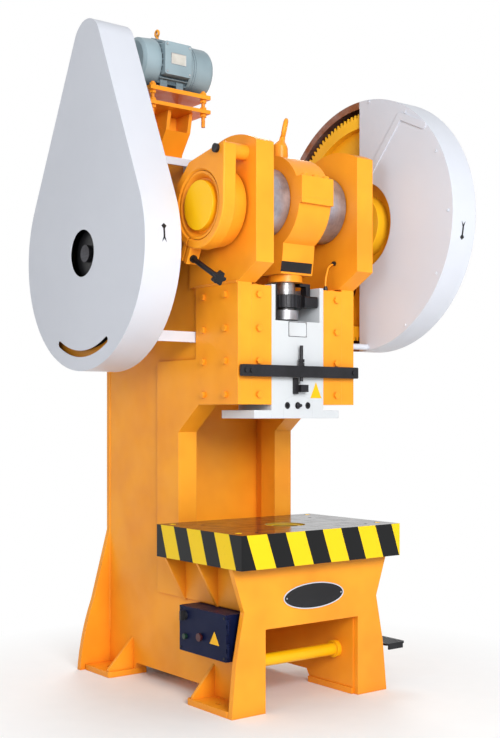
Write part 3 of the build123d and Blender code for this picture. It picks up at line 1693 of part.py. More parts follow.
def footprint_shift(parts):
    """Move that puts the origin in the middle of the whole press's footprint, on the floor."""
    low_x = min(part.bounding_box().min.X for part in parts.values())
    high_x = max(part.bounding_box().max.X for part in parts.values())
    low_y = min(part.bounding_box().min.Y for part in parts.values())
    high_y = max(part.bounding_box().max.Y for part in parts.values())
    return (-(low_x + high_x) / 2, -(low_y + high_y) / 2)


parts = build_parts()
shift_x, shift_y = footprint_shift(parts)
os.makedirs("parts", exist_ok=True)
for name, part in parts.items():
    export_step(Pos(shift_x, shift_y, 0) * part, f"parts/{name}.step")
print("parts", len(parts), "shift", round(shift_x, 3), round(shift_y, 3), "back shaft z", round(back_shaft_z, 3))
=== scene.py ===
# %% [markdown]
# # Dressing a geared C-frame press
# The machine's plates, shafts and castings arrive from CAD as a fixed frame.
# Blender never moves them. It gives every surface its finish, adds the small
# pieces that a machine shop puts on last, and sets up the camera and the lamps.
# Loading the frame first is what lets every later piece sit where the real one sits.

# %% Load the fixed frame
import json
import math

import bmesh
import bpy
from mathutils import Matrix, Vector


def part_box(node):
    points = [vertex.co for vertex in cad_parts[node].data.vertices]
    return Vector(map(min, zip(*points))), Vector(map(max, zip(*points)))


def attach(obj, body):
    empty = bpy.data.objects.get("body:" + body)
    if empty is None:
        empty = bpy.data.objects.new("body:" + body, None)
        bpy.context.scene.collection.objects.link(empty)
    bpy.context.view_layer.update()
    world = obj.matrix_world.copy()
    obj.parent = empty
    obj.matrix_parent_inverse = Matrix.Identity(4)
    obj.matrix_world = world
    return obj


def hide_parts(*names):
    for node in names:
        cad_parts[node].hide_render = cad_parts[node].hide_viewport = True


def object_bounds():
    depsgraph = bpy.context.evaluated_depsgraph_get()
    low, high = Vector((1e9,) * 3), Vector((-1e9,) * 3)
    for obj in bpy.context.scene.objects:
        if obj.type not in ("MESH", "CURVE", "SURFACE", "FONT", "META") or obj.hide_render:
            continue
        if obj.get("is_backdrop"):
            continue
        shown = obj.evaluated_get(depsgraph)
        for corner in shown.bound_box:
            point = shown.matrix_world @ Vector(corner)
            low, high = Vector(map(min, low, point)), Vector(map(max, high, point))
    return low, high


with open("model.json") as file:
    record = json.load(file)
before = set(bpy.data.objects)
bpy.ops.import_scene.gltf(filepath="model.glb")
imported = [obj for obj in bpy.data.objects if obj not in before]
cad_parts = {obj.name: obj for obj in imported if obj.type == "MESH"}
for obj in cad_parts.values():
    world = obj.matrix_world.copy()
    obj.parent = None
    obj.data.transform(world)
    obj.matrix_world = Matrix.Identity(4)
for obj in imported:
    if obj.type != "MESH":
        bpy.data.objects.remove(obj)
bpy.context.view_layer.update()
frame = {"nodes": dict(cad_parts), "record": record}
nodes = frame["nodes"]

# %% [markdown]
# ## One set of coordinates
# A press fitter measures from the middle of the bolster's front edge, so this
# script does too: X to the right, Y to the back, Z up from the floor, in
# millimetres. The bolster's own box says where that point lies in the frame.
# Reading it, instead of typing it in, keeps every piece in place if the
# footprint changes.

# %% Fitter's millimetres to frame metres
bolster_low, bolster_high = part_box("bolster")
fitter_zero = Vector(((bolster_low.x + bolster_high.x) / 2, bolster_low.y, 0.0))


def at(x, y, z):
    """A place given in the fitter's millimetres, as a point of the frame."""
    return fitter_zero + Vector((x, y, z)) / 1000


print("fitter's zero", [round(v, 4) for v in fitter_zero])

# %% [markdown]
# ## The camera
# The photograph was taken from the left of the machine, level with the die
# space. A level camera keeps uprights parallel, so the framing is raised with
# lens shift and not by tilting. The three numbers for the stand, the turn and
# the lens were found by fitting straight edges of the bed and the column.

# %% Set up the camera
CAMERA_STAND = (-3312, -3786, 1297)
CAMERA_TURN = math.radians(-37.41)
CAMERA_LENS = 55.6
CAMERA_RISE = 0.0597

camera = bpy.data.objects.new("camera", bpy.data.cameras.new("camera"))
bpy.context.scene.collection.objects.link(camera)
camera.location = at(*CAMERA_STAND)
camera.rotation_euler = (math.radians(90), 0, CAMERA_TURN)
camera.data.lens = CAMERA_LENS
camera.data.shift_y = CAMERA_RISE
camera.data.clip_end = 60
bpy.context.scene.camera = camera
bpy.context.scene.view_settings.view_transform = "Standard"
print("camera", [round(v, 3) for v in camera.location])

# %% [markdown]
# ## Building node trees in few lines
# A finish is a small graph of nodes. Three helpers keep each graph readable:
# one adds a node with its settings, one joins sockets, and one turns the
# colour that an eye reads on a screen into the linear value that shaders use.

# %% Node helpers


def linear(red, green, blue):
    """A screen colour, 0 to 255 each, as the linear colour that a shader takes."""
    tone = [v / 255 for v in (red, green, blue)]
    tone = [v / 12.92 if v <= 0.04045 else ((v + 0.055) / 1.055) ** 2.4 for v in tone]
    return (*tone, 1.0)


def add_node(tree, kind, inputs=None, **settings):
    """A new node, with its settings and with values or sockets for its inputs."""
    node = tree.nodes.new("ShaderNode" + kind)
    for name, value in settings.items():
        setattr(node, name, value)
    for name, value in (inputs or {}).items():
        if isinstance(value, bpy.types.NodeSocket):
            tree.links.new(value, node.inputs[name])
        else:
            node.inputs[name].default_value = value
    return node


def new_finish(name):
    """An empty material: its node tree and its principled shader."""
    material = bpy.data.materials.new(name)
    material.use_nodes = True
    tree = material.node_tree
    return material, tree, tree.nodes["Principled BSDF"]


def wire(tree, shader, base, roughness, relief):
    """Joins a finish's colour, roughness and relief to its shader."""
    for name, value in (("Base Color", base), ("Roughness", roughness), ("Normal", relief)):
        tree.links.new(value, shader.inputs[name])


def noise(tree, place, scale, detail=3.0, roughness=0.55):
    """A soft random value that varies over the surface."""
    inputs = {"Vector": place, "Scale": scale, "Detail": detail, "Roughness": roughness}
    return add_node(tree, "TexNoise", inputs).outputs["Fac"]


def spread(tree, value, low, high, to_low=0.0, to_high=1.0):
    """Stretches a value from one range to another and holds it there."""
    inputs = {"Value": value, "From Min": low, "From Max": high}
    inputs |= {"To Min": to_low, "To Max": to_high}
    return add_node(tree, "MapRange", inputs).outputs["Result"]


def sums(tree, operation, first, second=0.0):
    """One step of arithmetic on two values."""
    return add_node(tree, "Math", {0: first, 1: second}, operation=operation).outputs["Value"]


def share_of(tree, value, share):
    """A value weakened, or two values multiplied."""
    return sums(tree, "MULTIPLY", value, share)


def vectors(tree, operation, first, second=(0, 0, 0)):
    """One step of arithmetic on two vectors. It gives a Vector or a Value."""
    return add_node(tree, "VectorMath", {0: first, 1: second}, operation=operation).outputs


def part_of(tree, vector, axis):
    """One of a vector's three parts: 0 is X, 1 is Y and 2 is Z."""
    return add_node(tree, "SeparateXYZ", {0: vector}).outputs[axis]


def blended(tree, share, under, over):
    """One colour laid over another, by share."""
    mix = add_node(tree, "Mix", {"Factor": share}, data_type="RGBA")
    colours = [s for s in mix.inputs if s.type == "RGBA"]
    for socket, colour in zip(colours, (under, over)):
        if isinstance(colour, bpy.types.NodeSocket):
            tree.links.new(colour, socket)
        else:
            socket.default_value = colour
    return [s for s in mix.outputs if s.type == "RGBA"][0]


def surface_place(tree):
    """The frame's own coordinates, which stay with the piece as it moves."""
    return add_node(tree, "TexCoord").outputs["Object"]


def surface_facing(tree):
    """The way that the flat face looks, before any rounding."""
    return add_node(tree, "NewGeometry").outputs["True Normal"]


def stretched_noise(tree, place, scale, *settings):
    """Noise drawn out along an axis, as tool marks and scratches are."""
    drawn = add_node(tree, "Mapping", {"Vector": place, "Scale": scale}).outputs[0]
    return noise(tree, drawn, *settings)


def softened_edge(tree, radius):
    """A normal that rounds sharp plate edges, as a coat of paint does."""
    return add_node(tree, "Bevel", {"Radius": radius}, samples=6).outputs["Normal"]


def edge_share(tree, rounded, noise_value):
    """How near a point is to a sharp edge, broken up by noise: where paint wears first, and where
    a painted highlight goes.
    """
    turn = vectors(tree, "DOT_PRODUCT", rounded, surface_facing(tree))["Value"]
    return share_of(tree, spread(tree, turn, 0.995, 0.86), noise_value)


def corner_share(tree, reach):
    """How deep a point lies in a corner, which sets how much painted shade it gets."""
    open_air = add_node(tree, "AmbientOcclusion", {"Distance": reach}, samples=4)
    return spread(tree, open_air.outputs["AO"], 0.85, 0.2)


def ripple(tree, height, strength, distance, normal=None):
    """Small relief from a height value."""
    inputs = {"Height": height, "Strength": strength, "Distance": distance}
    if normal is not None:
        inputs["Normal"] = normal
    return add_node(tree, "Bump", inputs).outputs["Normal"]


print("screen grey 128 as a shader takes it", round(linear(128, 128, 128)[0], 3))

# %% [markdown]
# ## Sprayed enamel
# The frame is sprayed with a semi-gloss machine enamel. Real enamel is never
# one flat colour: it mottles a little and wears paler along edges, and its skin
# has the fine ripple that painters call orange peel. The paler edges also carry a
# painted highlight, and corners get painted shade. All of that is driven by the
# surface's own coordinates, so it holds in any view.
# The gloss stays in one band, because a roughness that crosses about 0.27 makes
# the renderer treat neighbouring patches differently, which shows as blotches.

# %% Enamel
PAINTS = {
    # name: (fresh paint, darker in patches and as painted shade in corners, worn edges with a
    # painted highlight)
    "orange": ((250, 164, 38), (206, 98, 10), (255, 184, 70)),
    "white": ((207, 211, 220), (184, 188, 198), (232, 234, 240)),
    "slide white": ((203, 207, 210), (184, 188, 196), (240, 241, 244)),
    "gear yellow": ((255, 194, 34), (200, 118, 12), (255, 206, 90)),
    "yellow": ((250, 192, 12), (226, 146, 10), (255, 226, 110)),
    "navy": ((12, 22, 56), (6, 10, 30), (60, 70, 116)),
    "black": ((24, 24, 27), (12, 12, 14), (84, 84, 90)),
    "motor grey": ((150, 170, 178), (64, 78, 88), (200, 212, 216)),
}
ORANGE = linear(*PAINTS["orange"][0])
YELLOW = linear(*PAINTS["yellow"][0])
WHITE_SKIN = {"wear_and_highlight": 0.15, "corner_shade": 0.25, "mottle": 0.12}
BLACK_SKIN = {"gloss": 0.4, "wear_and_highlight": 0.4, "corner_shade": 0.4}
ENAMEL_SHINE = 0.32
PAINT_ROUNDING = 0.0022
CORNER_REACH = 0.07


def enamel(name, paint, gloss=0.37, wear_and_highlight=0.5, corner_shade=0.55, mottle=0.3, pattern=None,
           shine=ENAMEL_SHINE):
    """Sprayed paint. pattern may give another base colour over parts of the surface."""
    colour, shade, worn_and_lit = (linear(*tone) for tone in PAINTS[paint])
    material, tree, shader = new_finish(name)
    place = surface_place(tree)
    broad = spread(tree, noise(tree, place, 2.6), 0.38, 0.66)
    base = blended(tree, share_of(tree, broad, mottle), colour, shade)
    if pattern is not None:
        base = pattern(tree, place, base)
    rounded = softened_edge(tree, PAINT_ROUNDING)
    chips = spread(tree, noise(tree, place, 34, 5.0, 0.65), 0.42, 0.62)
    # Worn edges with a painted highlight: the paint is paler along sharp edges.
    base = blended(tree, share_of(tree, edge_share(tree, rounded, chips), wear_and_highlight), base, worn_and_lit)
    # Painted shade: the paint is darkened towards its shade colour in corners.
    base = blended(tree, share_of(tree, corner_share(tree, CORNER_REACH), corner_shade), base, shade)
    rubbed = spread(tree, noise(tree, place, 11, 4.0), 0.3, 0.7, gloss - 0.07, gloss + 0.1)
    peel = noise(tree, place, 260, 2.0)
    wire(tree, shader, base, rubbed, ripple(tree, peel, 0.12, 0.0008, rounded))
    shader.inputs["Specular IOR Level"].default_value = shine
    return material


frame_enamel = enamel("orange enamel", "orange")
guard_enamel = enamel("white enamel", "white", **WHITE_SKIN)
slide_enamel = enamel("slide enamel", "slide white", 0.36, wear_and_highlight=0.2, corner_shade=0.3, mottle=0.1)
gear_enamel = enamel("gear enamel", "gear yellow", 0.4)
yellow_enamel = enamel("yellow enamel", "yellow", 0.36)
box_enamel = enamel("box enamel", "navy", 0.42, wear_and_highlight=0.4, corner_shade=0.4, shine=0.12)
black_enamel = enamel("black enamel", "black", **BLACK_SKIN)
enamels = [m.name for m in bpy.data.materials if m.name.endswith("enamel")]
print("enamels made", len(enamels))

# %% [markdown]
# ## Two paints on one wheel
# The brake drum is sprayed with the frame, and its hub cover was painted yellow
# by hand. A distance from the crankshaft's own line, measured across the
# surface, says which paint a point gets. That is surer than a second mesh laid
# on top. The flywheel is painted in the same way: black, with the frame's
# orange on its rim, which shows through the slot of the belt guard.

# %% Drum and flywheel
CRANK_AXIS = (280, 2200)
WHEEL_AXIS = (873.8, 2036.117)
RIM_RADIUS = 0.43
CAP_RADIUS = 0.113
CAP_WOBBLE = 0.004


def from_shaft(tree, place, y, z):
    """The way from a shaft line that runs along X to a surface point, straight across."""
    middle = at(0, y, z)
    moved = vectors(tree, "SUBTRACT", place, (0, middle.y, middle.z))["Vector"]
    return vectors(tree, "MULTIPLY", moved, (0, 1, 1))["Vector"]


def axis_distance(tree, place, y, z):
    """Distance of a surface point from a shaft line that runs along X."""
    return vectors(tree, "LENGTH", from_shaft(tree, place, y, z))["Value"]


def yellow_cap(tree, place, base):
    """Yellow inside the cap's radius, and the drum's own paint outside it."""
    wobble = share_of(tree, noise(tree, place, 30), CAP_WOBBLE)
    radius = sums(tree, "ADD", axis_distance(tree, place, *CRANK_AXIS), wobble)
    inside = spread(tree, radius, CAP_RADIUS, CAP_RADIUS + 0.001, 1.0, 0.0)
    return blended(tree, inside, base, YELLOW)


def orange_rim(tree, place, base):
    """Orange on the flywheel's rim, and the wheel's own black inside it."""
    radius = axis_distance(tree, place, *WHEEL_AXIS)
    return blended(tree, sums(tree, "GREATER_THAN", radius, RIM_RADIUS), base, ORANGE)


wheel_enamel = enamel("wheel enamel", "black", **BLACK_SKIN, pattern=orange_rim)
drum_enamel = enamel("drum enamel", "orange", pattern=yellow_cap)
print("two-paint wheels", wheel_enamel.name, "and", drum_enamel.name)

# %% [markdown]
# ## The motor's orange eye and the guard's shaded wall
# The motor is grey, and its lifting eye was painted orange with the bracket. A
# height tells the two paints apart. Inside the gear guard the curved wall and the
# narrow lip behind the crankshaft are painted dark brown as painted shade. Only
# the wall looks towards the crankshaft, so its normal compared with the line to
# the shaft picks it out.

# %% More paint by place
MOTOR_EYE_FOOT = 3089
WALL_SHADE = linear(112, 62, 26)
LIP_SHADE = linear(134, 74, 30)
FACE_EDGE_GAP = 0.0015
WALL_TURN = -0.8
LIP_TURN = -0.9


def orange_eye(tree, place, base):
    """Orange above the motor's fins, and the motor's own paint below."""
    above = sums(tree, "GREATER_THAN", part_of(tree, place, 2), at(0, 0, MOTOR_EYE_FOOT).z)
    return blended(tree, above, base, ORANGE)


def shaded_wall(tree, place, base):
    """Painted shade in dark brown on the wall and the rear lip round the gear, broken up a little.
    """
    away = vectors(tree, "NORMALIZE", from_shaft(tree, place, *CRANK_AXIS))["Vector"]
    facing = surface_facing(tree)
    turned = vectors(tree, "DOT_PRODUCT", facing, away)["Value"]
    wall = sums(tree, "LESS_THAN", turned, WALL_TURN)
    breakup = spread(tree, noise(tree, place, 18, 5.0), 0.3, 0.6, 0.8, 1.0)
    # Painted shade: dark brown on the curved wall inside the guard.
    base = blended(tree, share_of(tree, wall, breakup), base, WALL_SHADE)
    faces_in = sums(tree, "LESS_THAN", part_of(tree, facing, 0), LIP_TURN)
    face_edge = at(0, *CRANK_AXIS).y + FACE_EDGE_GAP
    behind = sums(tree, "GREATER_THAN", part_of(tree, place, 1), face_edge)
    lip = share_of(tree, faces_in, behind)
    # Painted shade: a lighter brown on the rear lip.
    return blended(tree, share_of(tree, lip, breakup), base, LIP_SHADE)


motor_enamel = enamel("motor enamel", "motor grey", 0.36, corner_shade=0.85, pattern=orange_eye)
gear_guard_enamel = enamel("gear guard enamel", "white", **WHITE_SKIN, pattern=shaded_wall)
print("paints by place", motor_enamel.name, "and", gear_guard_enamel.name)

# %% [markdown]
# ## The bolster's hazard stripes
# The thick bed plate is oiled black on top and taped yellow and black round
# its sides. The stripes lean, so the coordinate that makes them is the run
# along the side less a share of the drop from the top. On the ends the run is
# along Y and on the front along X, and the surface's normal says which.

# %% Striped and oiled bolster
STRIPE_PERIOD = 0.2097
STRIPE_WIDTH = 0.51
STRIPE_LEAN = 0.345
STRIPE_START_X = -433
STRIPE_START_Y = 617
SEAT_RADIUS = 0.094
BOLSTER_SHINE = 0.26
TAPE_BLACK = linear(9, 10, 12)
TAPE_YELLOW = linear(240, 202, 16)
OIL_DARK = linear(26, 24, 28)
OIL_PALE = linear(62, 56, 60)
SEAT_YELLOW = linear(236, 196, 30)
SEAT_WALL = linear(150, 120, 40)
DIE_CENTRE = (0, 280)
MOSTLY = 0.7


def stripes(tree, run, drop):
    """1 in a yellow stripe and 0 in a black one."""
    lean = share_of(tree, drop, STRIPE_LEAN)
    turns = sums(tree, "DIVIDE", sums(tree, "SUBTRACT", run, lean), STRIPE_PERIOD)
    return sums(tree, "LESS_THAN", sums(tree, "FLOORED_MODULO", turns, 1.0), STRIPE_WIDTH)


def striped_bolster():
    """Oiled black steel on top, a yellow seat round the die hole, taped stripes on the sides."""
    material, tree, shader = new_finish("striped bolster")
    place = surface_place(tree)
    x, y, z = add_node(tree, "SeparateXYZ", {0: place}).outputs
    drop = sums(tree, "SUBTRACT", bolster_high.z, z)
    front = stripes(tree, sums(tree, "SUBTRACT", x, at(STRIPE_START_X, 0, 0).x), drop)
    end = stripes(tree, sums(tree, "SUBTRACT", at(0, STRIPE_START_Y, 0).y, y), drop)
    across, _, up = add_node(tree, "SeparateXYZ", {0: surface_facing(tree)}).outputs
    is_end = sums(tree, "GREATER_THAN", sums(tree, "ABSOLUTE", across), MOSTLY)
    is_top = sums(tree, "GREATER_THAN", sums(tree, "ABSOLUTE", up), MOSTLY)
    tape = add_node(tree, "Mix", {0: is_end, 2: front, 3: end}).outputs[0]
    scuffs = spread(tree, noise(tree, place, 60, 6.0, 0.7), 0.62, 0.74)
    tape = share_of(tree, tape, spread(tree, scuffs, 0.0, 1.0, 1.0, 0.72))
    sides = blended(tree, tape, TAPE_BLACK, TAPE_YELLOW)
    smear = noise(tree, place, 5, 6.0, 0.7)
    oiled = blended(tree, spread(tree, smear, 0.4, 0.7), OIL_DARK, OIL_PALE)
    moved = vectors(tree, "SUBTRACT", place, at(*DIE_CENTRE, 0))["Vector"]
    flat = vectors(tree, "MULTIPLY", moved, (1, 1, 0))["Vector"]
    seat = sums(tree, "LESS_THAN", vectors(tree, "LENGTH", flat)["Value"], SEAT_RADIUS)
    base = blended(tree, is_top, sides, blended(tree, seat, oiled, SEAT_YELLOW))
    seat_wall = share_of(tree, seat, sums(tree, "SUBTRACT", 1.0, is_top))
    base = blended(tree, seat_wall, base, SEAT_WALL)
    polish = spread(tree, noise(tree, place, 14, 5.0), 0.3, 0.7, 0.1, 0.26)
    gloss = add_node(tree, "Mix", {0: is_top, 2: 0.36, 3: polish}).outputs[0]
    rounded = softened_edge(tree, 0.0025)
    scratches = stretched_noise(tree, place, (2, 90, 2), 3, 4.0)
    wire(tree, shader, base, gloss, ripple(tree, scratches, 0.06, 0.0006, rounded))
    shader.inputs["Specular IOR Level"].default_value = BOLSTER_SHINE
    return material


bolster_finish = striped_bolster()
print(bolster_finish.name, "with a stripe every", STRIPE_PERIOD, "m")

# %% [markdown]
# ## Bare metals
# Turned shafts show fine rings round their axis, so their noise is stretched
# flat along it. Cast iron is duller and grainy. Bronze browns where it is not
# rubbed, and blackened fasteners keep a thin sheen of oil.

# %% Metals
METAL_CORNER = 0.03
METAL_ROUNDING = 0.0012
METAL_CORNER_SHADE = linear(40, 34, 30)


def turned_metal(name, bright, dull, stretch, polish=0.29, metal=1.0):
    """Machined metal: rings across the stretched axis, stains between them."""
    material, tree, shader = new_finish(name)
    place = surface_place(tree)
    rings = stretched_noise(tree, place, stretch, 4, 3.0)
    stains = spread(tree, noise(tree, place, 9, 5.0, 0.6), 0.4, 0.75)
    base = blended(tree, stains, bright, dull)
    base = blended(tree, spread(tree, rings, 0.3, 0.7, 0.0, 0.35), base, dull)
    # Painted shade: a dark brown in corners.
    base = blended(tree, share_of(tree, corner_share(tree, METAL_CORNER), 0.6), base, METAL_CORNER_SHADE)
    rubbed = spread(tree, rings, 0.3, 0.7, polish, polish + 0.2)
    relief = ripple(tree, rings, 0.15, 0.0006, softened_edge(tree, METAL_ROUNDING))
    wire(tree, shader, base, rubbed, relief)
    shader.inputs["Metallic"].default_value = metal
    return material


ROUND_X = (160, 2, 2)
ROUND_Z = (2, 2, 160)
ROUND_ANY = (40, 40, 40)

METALS = {
    "turned steel": ((206, 206, 210), (130, 126, 128), ROUND_X),
    "crank steel": ((190, 192, 204), (112, 112, 124), ROUND_X, 0.29, 0.75),
    "screw steel": ((214, 214, 216), (140, 138, 140), ROUND_Z),
    "bronze": ((214, 160, 84), (140, 92, 44), ROUND_X, 0.3),
    "cast iron": ((98, 98, 102), (60, 58, 58), ROUND_ANY, 0.46, 0.8),
    "black steel": ((34, 34, 40), (16, 16, 20), ROUND_ANY, 0.34, 0.35),
    "dark steel": ((82, 82, 88), (44, 42, 46), ROUND_Z, 0.32, 0.85),
}
bright_steel, crank_steel, screw_steel, bronze, cast_iron, black_steel, dark_steel = (
    turned_metal(name, linear(*bright), linear(*dull), *settings)
    for name, (bright, dull, *settings) in METALS.items()
)
print("metals made", len(METALS))

# %% [markdown]
# ## Rubber, plastic and brake lining
# These have no metal in them, so their colour comes back from just under the
# skin and their shine is low and even. A fine grain keeps them from looking
# like wax.

# %% Soft and moulded stuffs


def moulded(name, colour, other, gloss, grain, depth):
    """A dull moulded surface with a fine grain."""
    material, tree, shader = new_finish(name)
    place = surface_place(tree)
    base = blended(tree, spread(tree, noise(tree, place, 20, 4.0), 0.35, 0.7), colour, other)
    rubbed = spread(tree, noise(tree, place, 30), 0.3, 0.7, gloss, gloss + 0.12)
    relief = ripple(tree, noise(tree, place, grain, 2.0), depth, 0.0005)
    wire(tree, shader, base, rubbed, relief)
    return material


MOULDED = {
    "belt rubber": ((30, 30, 30), (48, 46, 44), 0.62, 400, 0.3),
    "brake lining": ((112, 88, 66), (74, 56, 42), 0.7, 300, 0.5),
    "panel plastic": ((206, 204, 196), (186, 184, 176), 0.45, 500, 0.1),
    "black plastic": ((26, 26, 28), (36, 36, 40), 0.36, 500, 0.15),
    "green plastic": ((16, 52, 34), (12, 40, 28), 0.3, 500, 0.05),
    "red plastic": ((72, 16, 22), (56, 12, 16), 0.3, 500, 0.05),
}
belt_rubber, brake_lining, panel_plastic, black_plastic, green_plastic, red_plastic = (
    moulded(name, linear(*colour), linear(*other), *settings)
    for name, (colour, other, *settings) in MOULDED.items()
)
print("moulded stuffs made", len(MOULDED))

# %% [markdown]
# ## Which piece gets which finish
# The record names a slot for every CAD piece. One table turns slots into
# finishes, and a short list of exceptions follows it. A CAD piece keeps its
# mesh, and only what its material slots hold is changed.

# %% Dress the CAD pieces
FINISHES = {
    "frame_paint": frame_enamel,
    "cheek_paint": frame_enamel,
    "ram_paint": frame_enamel,
    "slide_paint": slide_enamel,
    "gear_paint": gear_enamel,
    "guard_paint": guard_enamel,
    "bolster_steel": bolster_finish,
    "bright_steel": bright_steel,
    "black_steel": black_steel,
    "yellow_paint": yellow_enamel,
    "bronze": bronze,
    "cast_grey": cast_iron,
    "motor_paint": motor_enamel,
    "belt_rubber": belt_rubber,
    "lining": brake_lining,
    "box_paint": box_enamel,
    "panel": panel_plastic,
    "black_plastic": black_plastic,
    "green_plastic": green_plastic,
    "red_plastic": red_plastic,
}
EXCEPTIONS = {
    "brake_drum": drum_enamel,
    "gear_guard": gear_guard_enamel,
    "flywheel": wheel_enamel,
    "crankshaft": crank_steel,
    "ram_screw": screw_steel,
    "pedal_rod": screw_steel,
    "ratchet_ring": black_steel,
    "pinion_shaft": dark_steel,
}
for part in frame["record"]["subparts"]:
    piece = nodes[part["node"]]
    finish = EXCEPTIONS.get(part["node"], FINISHES[part["material_slot"]])
    if not piece.material_slots:
        piece.data.materials.append(finish)
    for holder in piece.material_slots:
        holder.material = finish

# %% [markdown]
# ## A studio with a white sweep
# The machine stands on a pale floor that runs off into white. Near the machine
# the floor is ordinary paint and takes its shadow. Further out it glows white
# to the camera and to shiny metal, so no horizon shows. Light comes from broad
# soft lamps, as it would from windows of a workshop.

# %% Floor, world and lamps
FLOOR_NEAR = 0.5
FLOOR_FAR = 1.9
FLOOR_PALE = linear(250, 250, 250)
FLOOR_DULL = linear(242, 242, 242)
FLOOR_SIZE = 30
FLOOR_DROP = 0.0005


def seen_or_mirrored(tree):
    """1 for rays from the camera, by way of metal or glass too, and 0 for light on the machine."""
    ray = add_node(tree, "LightPath").outputs
    seen = sums(tree, "MAXIMUM", ray["Is Camera Ray"], ray["Is Glossy Ray"])
    return sums(tree, "MAXIMUM", seen, ray["Is Transmission Ray"])


def floor_finish():
    """Pale paint near the machine, plain white light further out."""
    material, tree, shader = new_finish("studio floor")
    place = surface_place(tree)
    paint = blended(tree, noise(tree, place, 8, 4.0), FLOOR_PALE, FLOOR_DULL)
    tree.links.new(paint, shader.inputs["Base Color"])
    shader.inputs["Roughness"].default_value = 0.7
    glow = add_node(tree, "Emission", {"Color": (1, 1, 1, 1), "Strength": 1.0})
    far = vectors(tree, "LENGTH", place)["Value"]
    share = share_of(tree, seen_or_mirrored(tree), spread(tree, far, FLOOR_NEAR, FLOOR_FAR))
    layers = {0: share, 1: shader.outputs["BSDF"], 2: glow.outputs["Emission"]}
    both = add_node(tree, "MixShader", layers)
    tree.links.new(both.outputs["Shader"], tree.nodes["Material Output"].inputs["Surface"])
    return material


bpy.ops.object.select_all(action="DESELECT")
bpy.ops.mesh.primitive_plane_add(size=FLOOR_SIZE, location=(0, 0, -FLOOR_DROP))
floor = bpy.context.object
floor.name = "floor"
floor.data.materials.append(floor_finish())
floor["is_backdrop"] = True

WORLD_LEVEL = 0.38
world = bpy.data.worlds.new("studio")
bpy.context.scene.world = world
world.use_nodes = True
sky = world.node_tree
white = share_of(sky, seen_or_mirrored(sky), 1.0 - WORLD_LEVEL)
level = sums(sky, "ADD", WORLD_LEVEL, white)
sky.links.new(level, sky.nodes["Background"].inputs["Strength"])
sky.nodes["Background"].inputs["Color"].default_value = (1, 1, 1, 1)


def lamp(name, place, target, size, power):
    """A broad soft lamp aimed at a place on the machine."""
    light = bpy.data.lights.new(name, "AREA")
    light.shape = "DISK"
    light.size = size
    light.energy = power
    holder = bpy.data.objects.new(name, light)
    bpy.context.scene.collection.objects.link(holder)
    holder.location = at(*place)
    aim = at(*target) - holder.location
    holder.rotation_euler = aim.to_track_quat("-Z", "Y").to_euler()


LAMPS = (
    ("front lamp", (-2000, -5100, 3200), (0, 400, 1500), 2.6, 330),
    ("left lamp", (-5200, -1500, 2500), (-100, 500, 1700), 2.4, 46),
    ("rear lamp", (2600, 4200, 3800), (200, 700, 1800), 2.5, 110),
)
for row in LAMPS:
    lamp(*row)
print("lamps", len(LAMPS), "world level", WORLD_LEVEL)

# %% [markdown]
# ## Modelling by hand, in code
# Each new piece is made as it would be at the keyboard: add a primitive, go
# into edit mode, pick faces, extrude or inset them, then bevel. The helpers
# below do the picking, and leave the finished piece with its place in its mesh.

# %% Modelling helpers


def leave_edit():
    """Goes back to object mode."""
    bpy.ops.object.mode_set(mode="OBJECT")


def start_clean():
    """Leaves edit mode with nothing selected, so no operator touches a finished piece."""
    if bpy.context.object and bpy.context.object.mode != "OBJECT":
        leave_edit()
    bpy.ops.object.select_all(action="DESELECT")


def focus(piece):
    """Makes a piece the only one selected."""
    start_clean()
    piece.select_set(True)
    bpy.context.view_layer.objects.active = piece


def edit(piece):
    """Goes into a piece's edit mode with all of it selected."""
    focus(piece)
    bpy.ops.object.mode_set(mode="EDIT")
    bpy.ops.mesh.select_all(action="SELECT")


def pick(piece, test, kind="FACE"):
    """Goes into edit mode and selects what passes the test, by its middle and its direction."""
    edit(piece)
    bpy.ops.mesh.select_mode(type=kind)
    bpy.ops.mesh.select_all(action="DESELECT")
    mesh = bmesh.from_edit_mesh(piece.data)
    mesh.normal_update()
    if kind == "FACE":
        for face in mesh.faces:
            face.select_set(test(face.calc_center_median(), face.normal))
    else:
        for edge in mesh.edges:
            one, two = (v.co for v in edge.verts)
            edge.select_set(test((one + two) / 2, (two - one).normalized()))
    mesh.select_flush_mode()
    bmesh.update_edit_mesh(piece.data)


def inset(thickness, depth=0.0):
    """Insets the selected faces, and raises them by depth where one is given."""
    bpy.ops.mesh.inset(thickness=thickness, depth=depth)


def push(offset):
    """Extrudes the selected faces by an offset."""
    bpy.ops.mesh.extrude_region_move(TRANSFORM_OT_translate={"value": offset})


def apply_place(piece):
    """Puts the piece's place, turn and size into its mesh or curve."""
    focus(piece)
    bpy.ops.object.transform_apply(location=True, rotation=True, scale=True)


def shape_all(piece, scale, middle):
    """Stretches the whole mesh about a middle."""
    edit(piece)
    bpy.ops.transform.resize(value=scale, center_override=middle)


def finish_with(piece, name, kind, **settings):
    """Adds a modifier with its settings and applies it."""
    focus(piece)
    modifier = piece.modifiers.new(name, kind)
    for setting, value in settings.items():
        setattr(modifier, setting, value)
    bpy.ops.object.modifier_apply(modifier=modifier.name)


def bevel_all(piece, width, segments=2, angle=40):
    """Rounds the sharp edges with a bevel that is then applied."""
    limit = math.radians(angle)
    finish_with(
        piece, "round", "BEVEL",
        width=width, segments=segments, limit_method="ANGLE", angle_limit=limit,
    )


def settle(piece, name, body, slot, *finishes):
    """Gives the piece its place, its finishes and its body. The slot argument is not used."""
    apply_place(piece)
    bpy.ops.object.shade_smooth_by_angle(angle=math.radians(32))
    piece.name = name
    for index, finish in enumerate(finishes):
        if index < len(piece.data.materials):
            piece.data.materials[index] = finish
        else:
            piece.data.materials.append(finish)
    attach(piece, body)
    start_clean()
    return piece


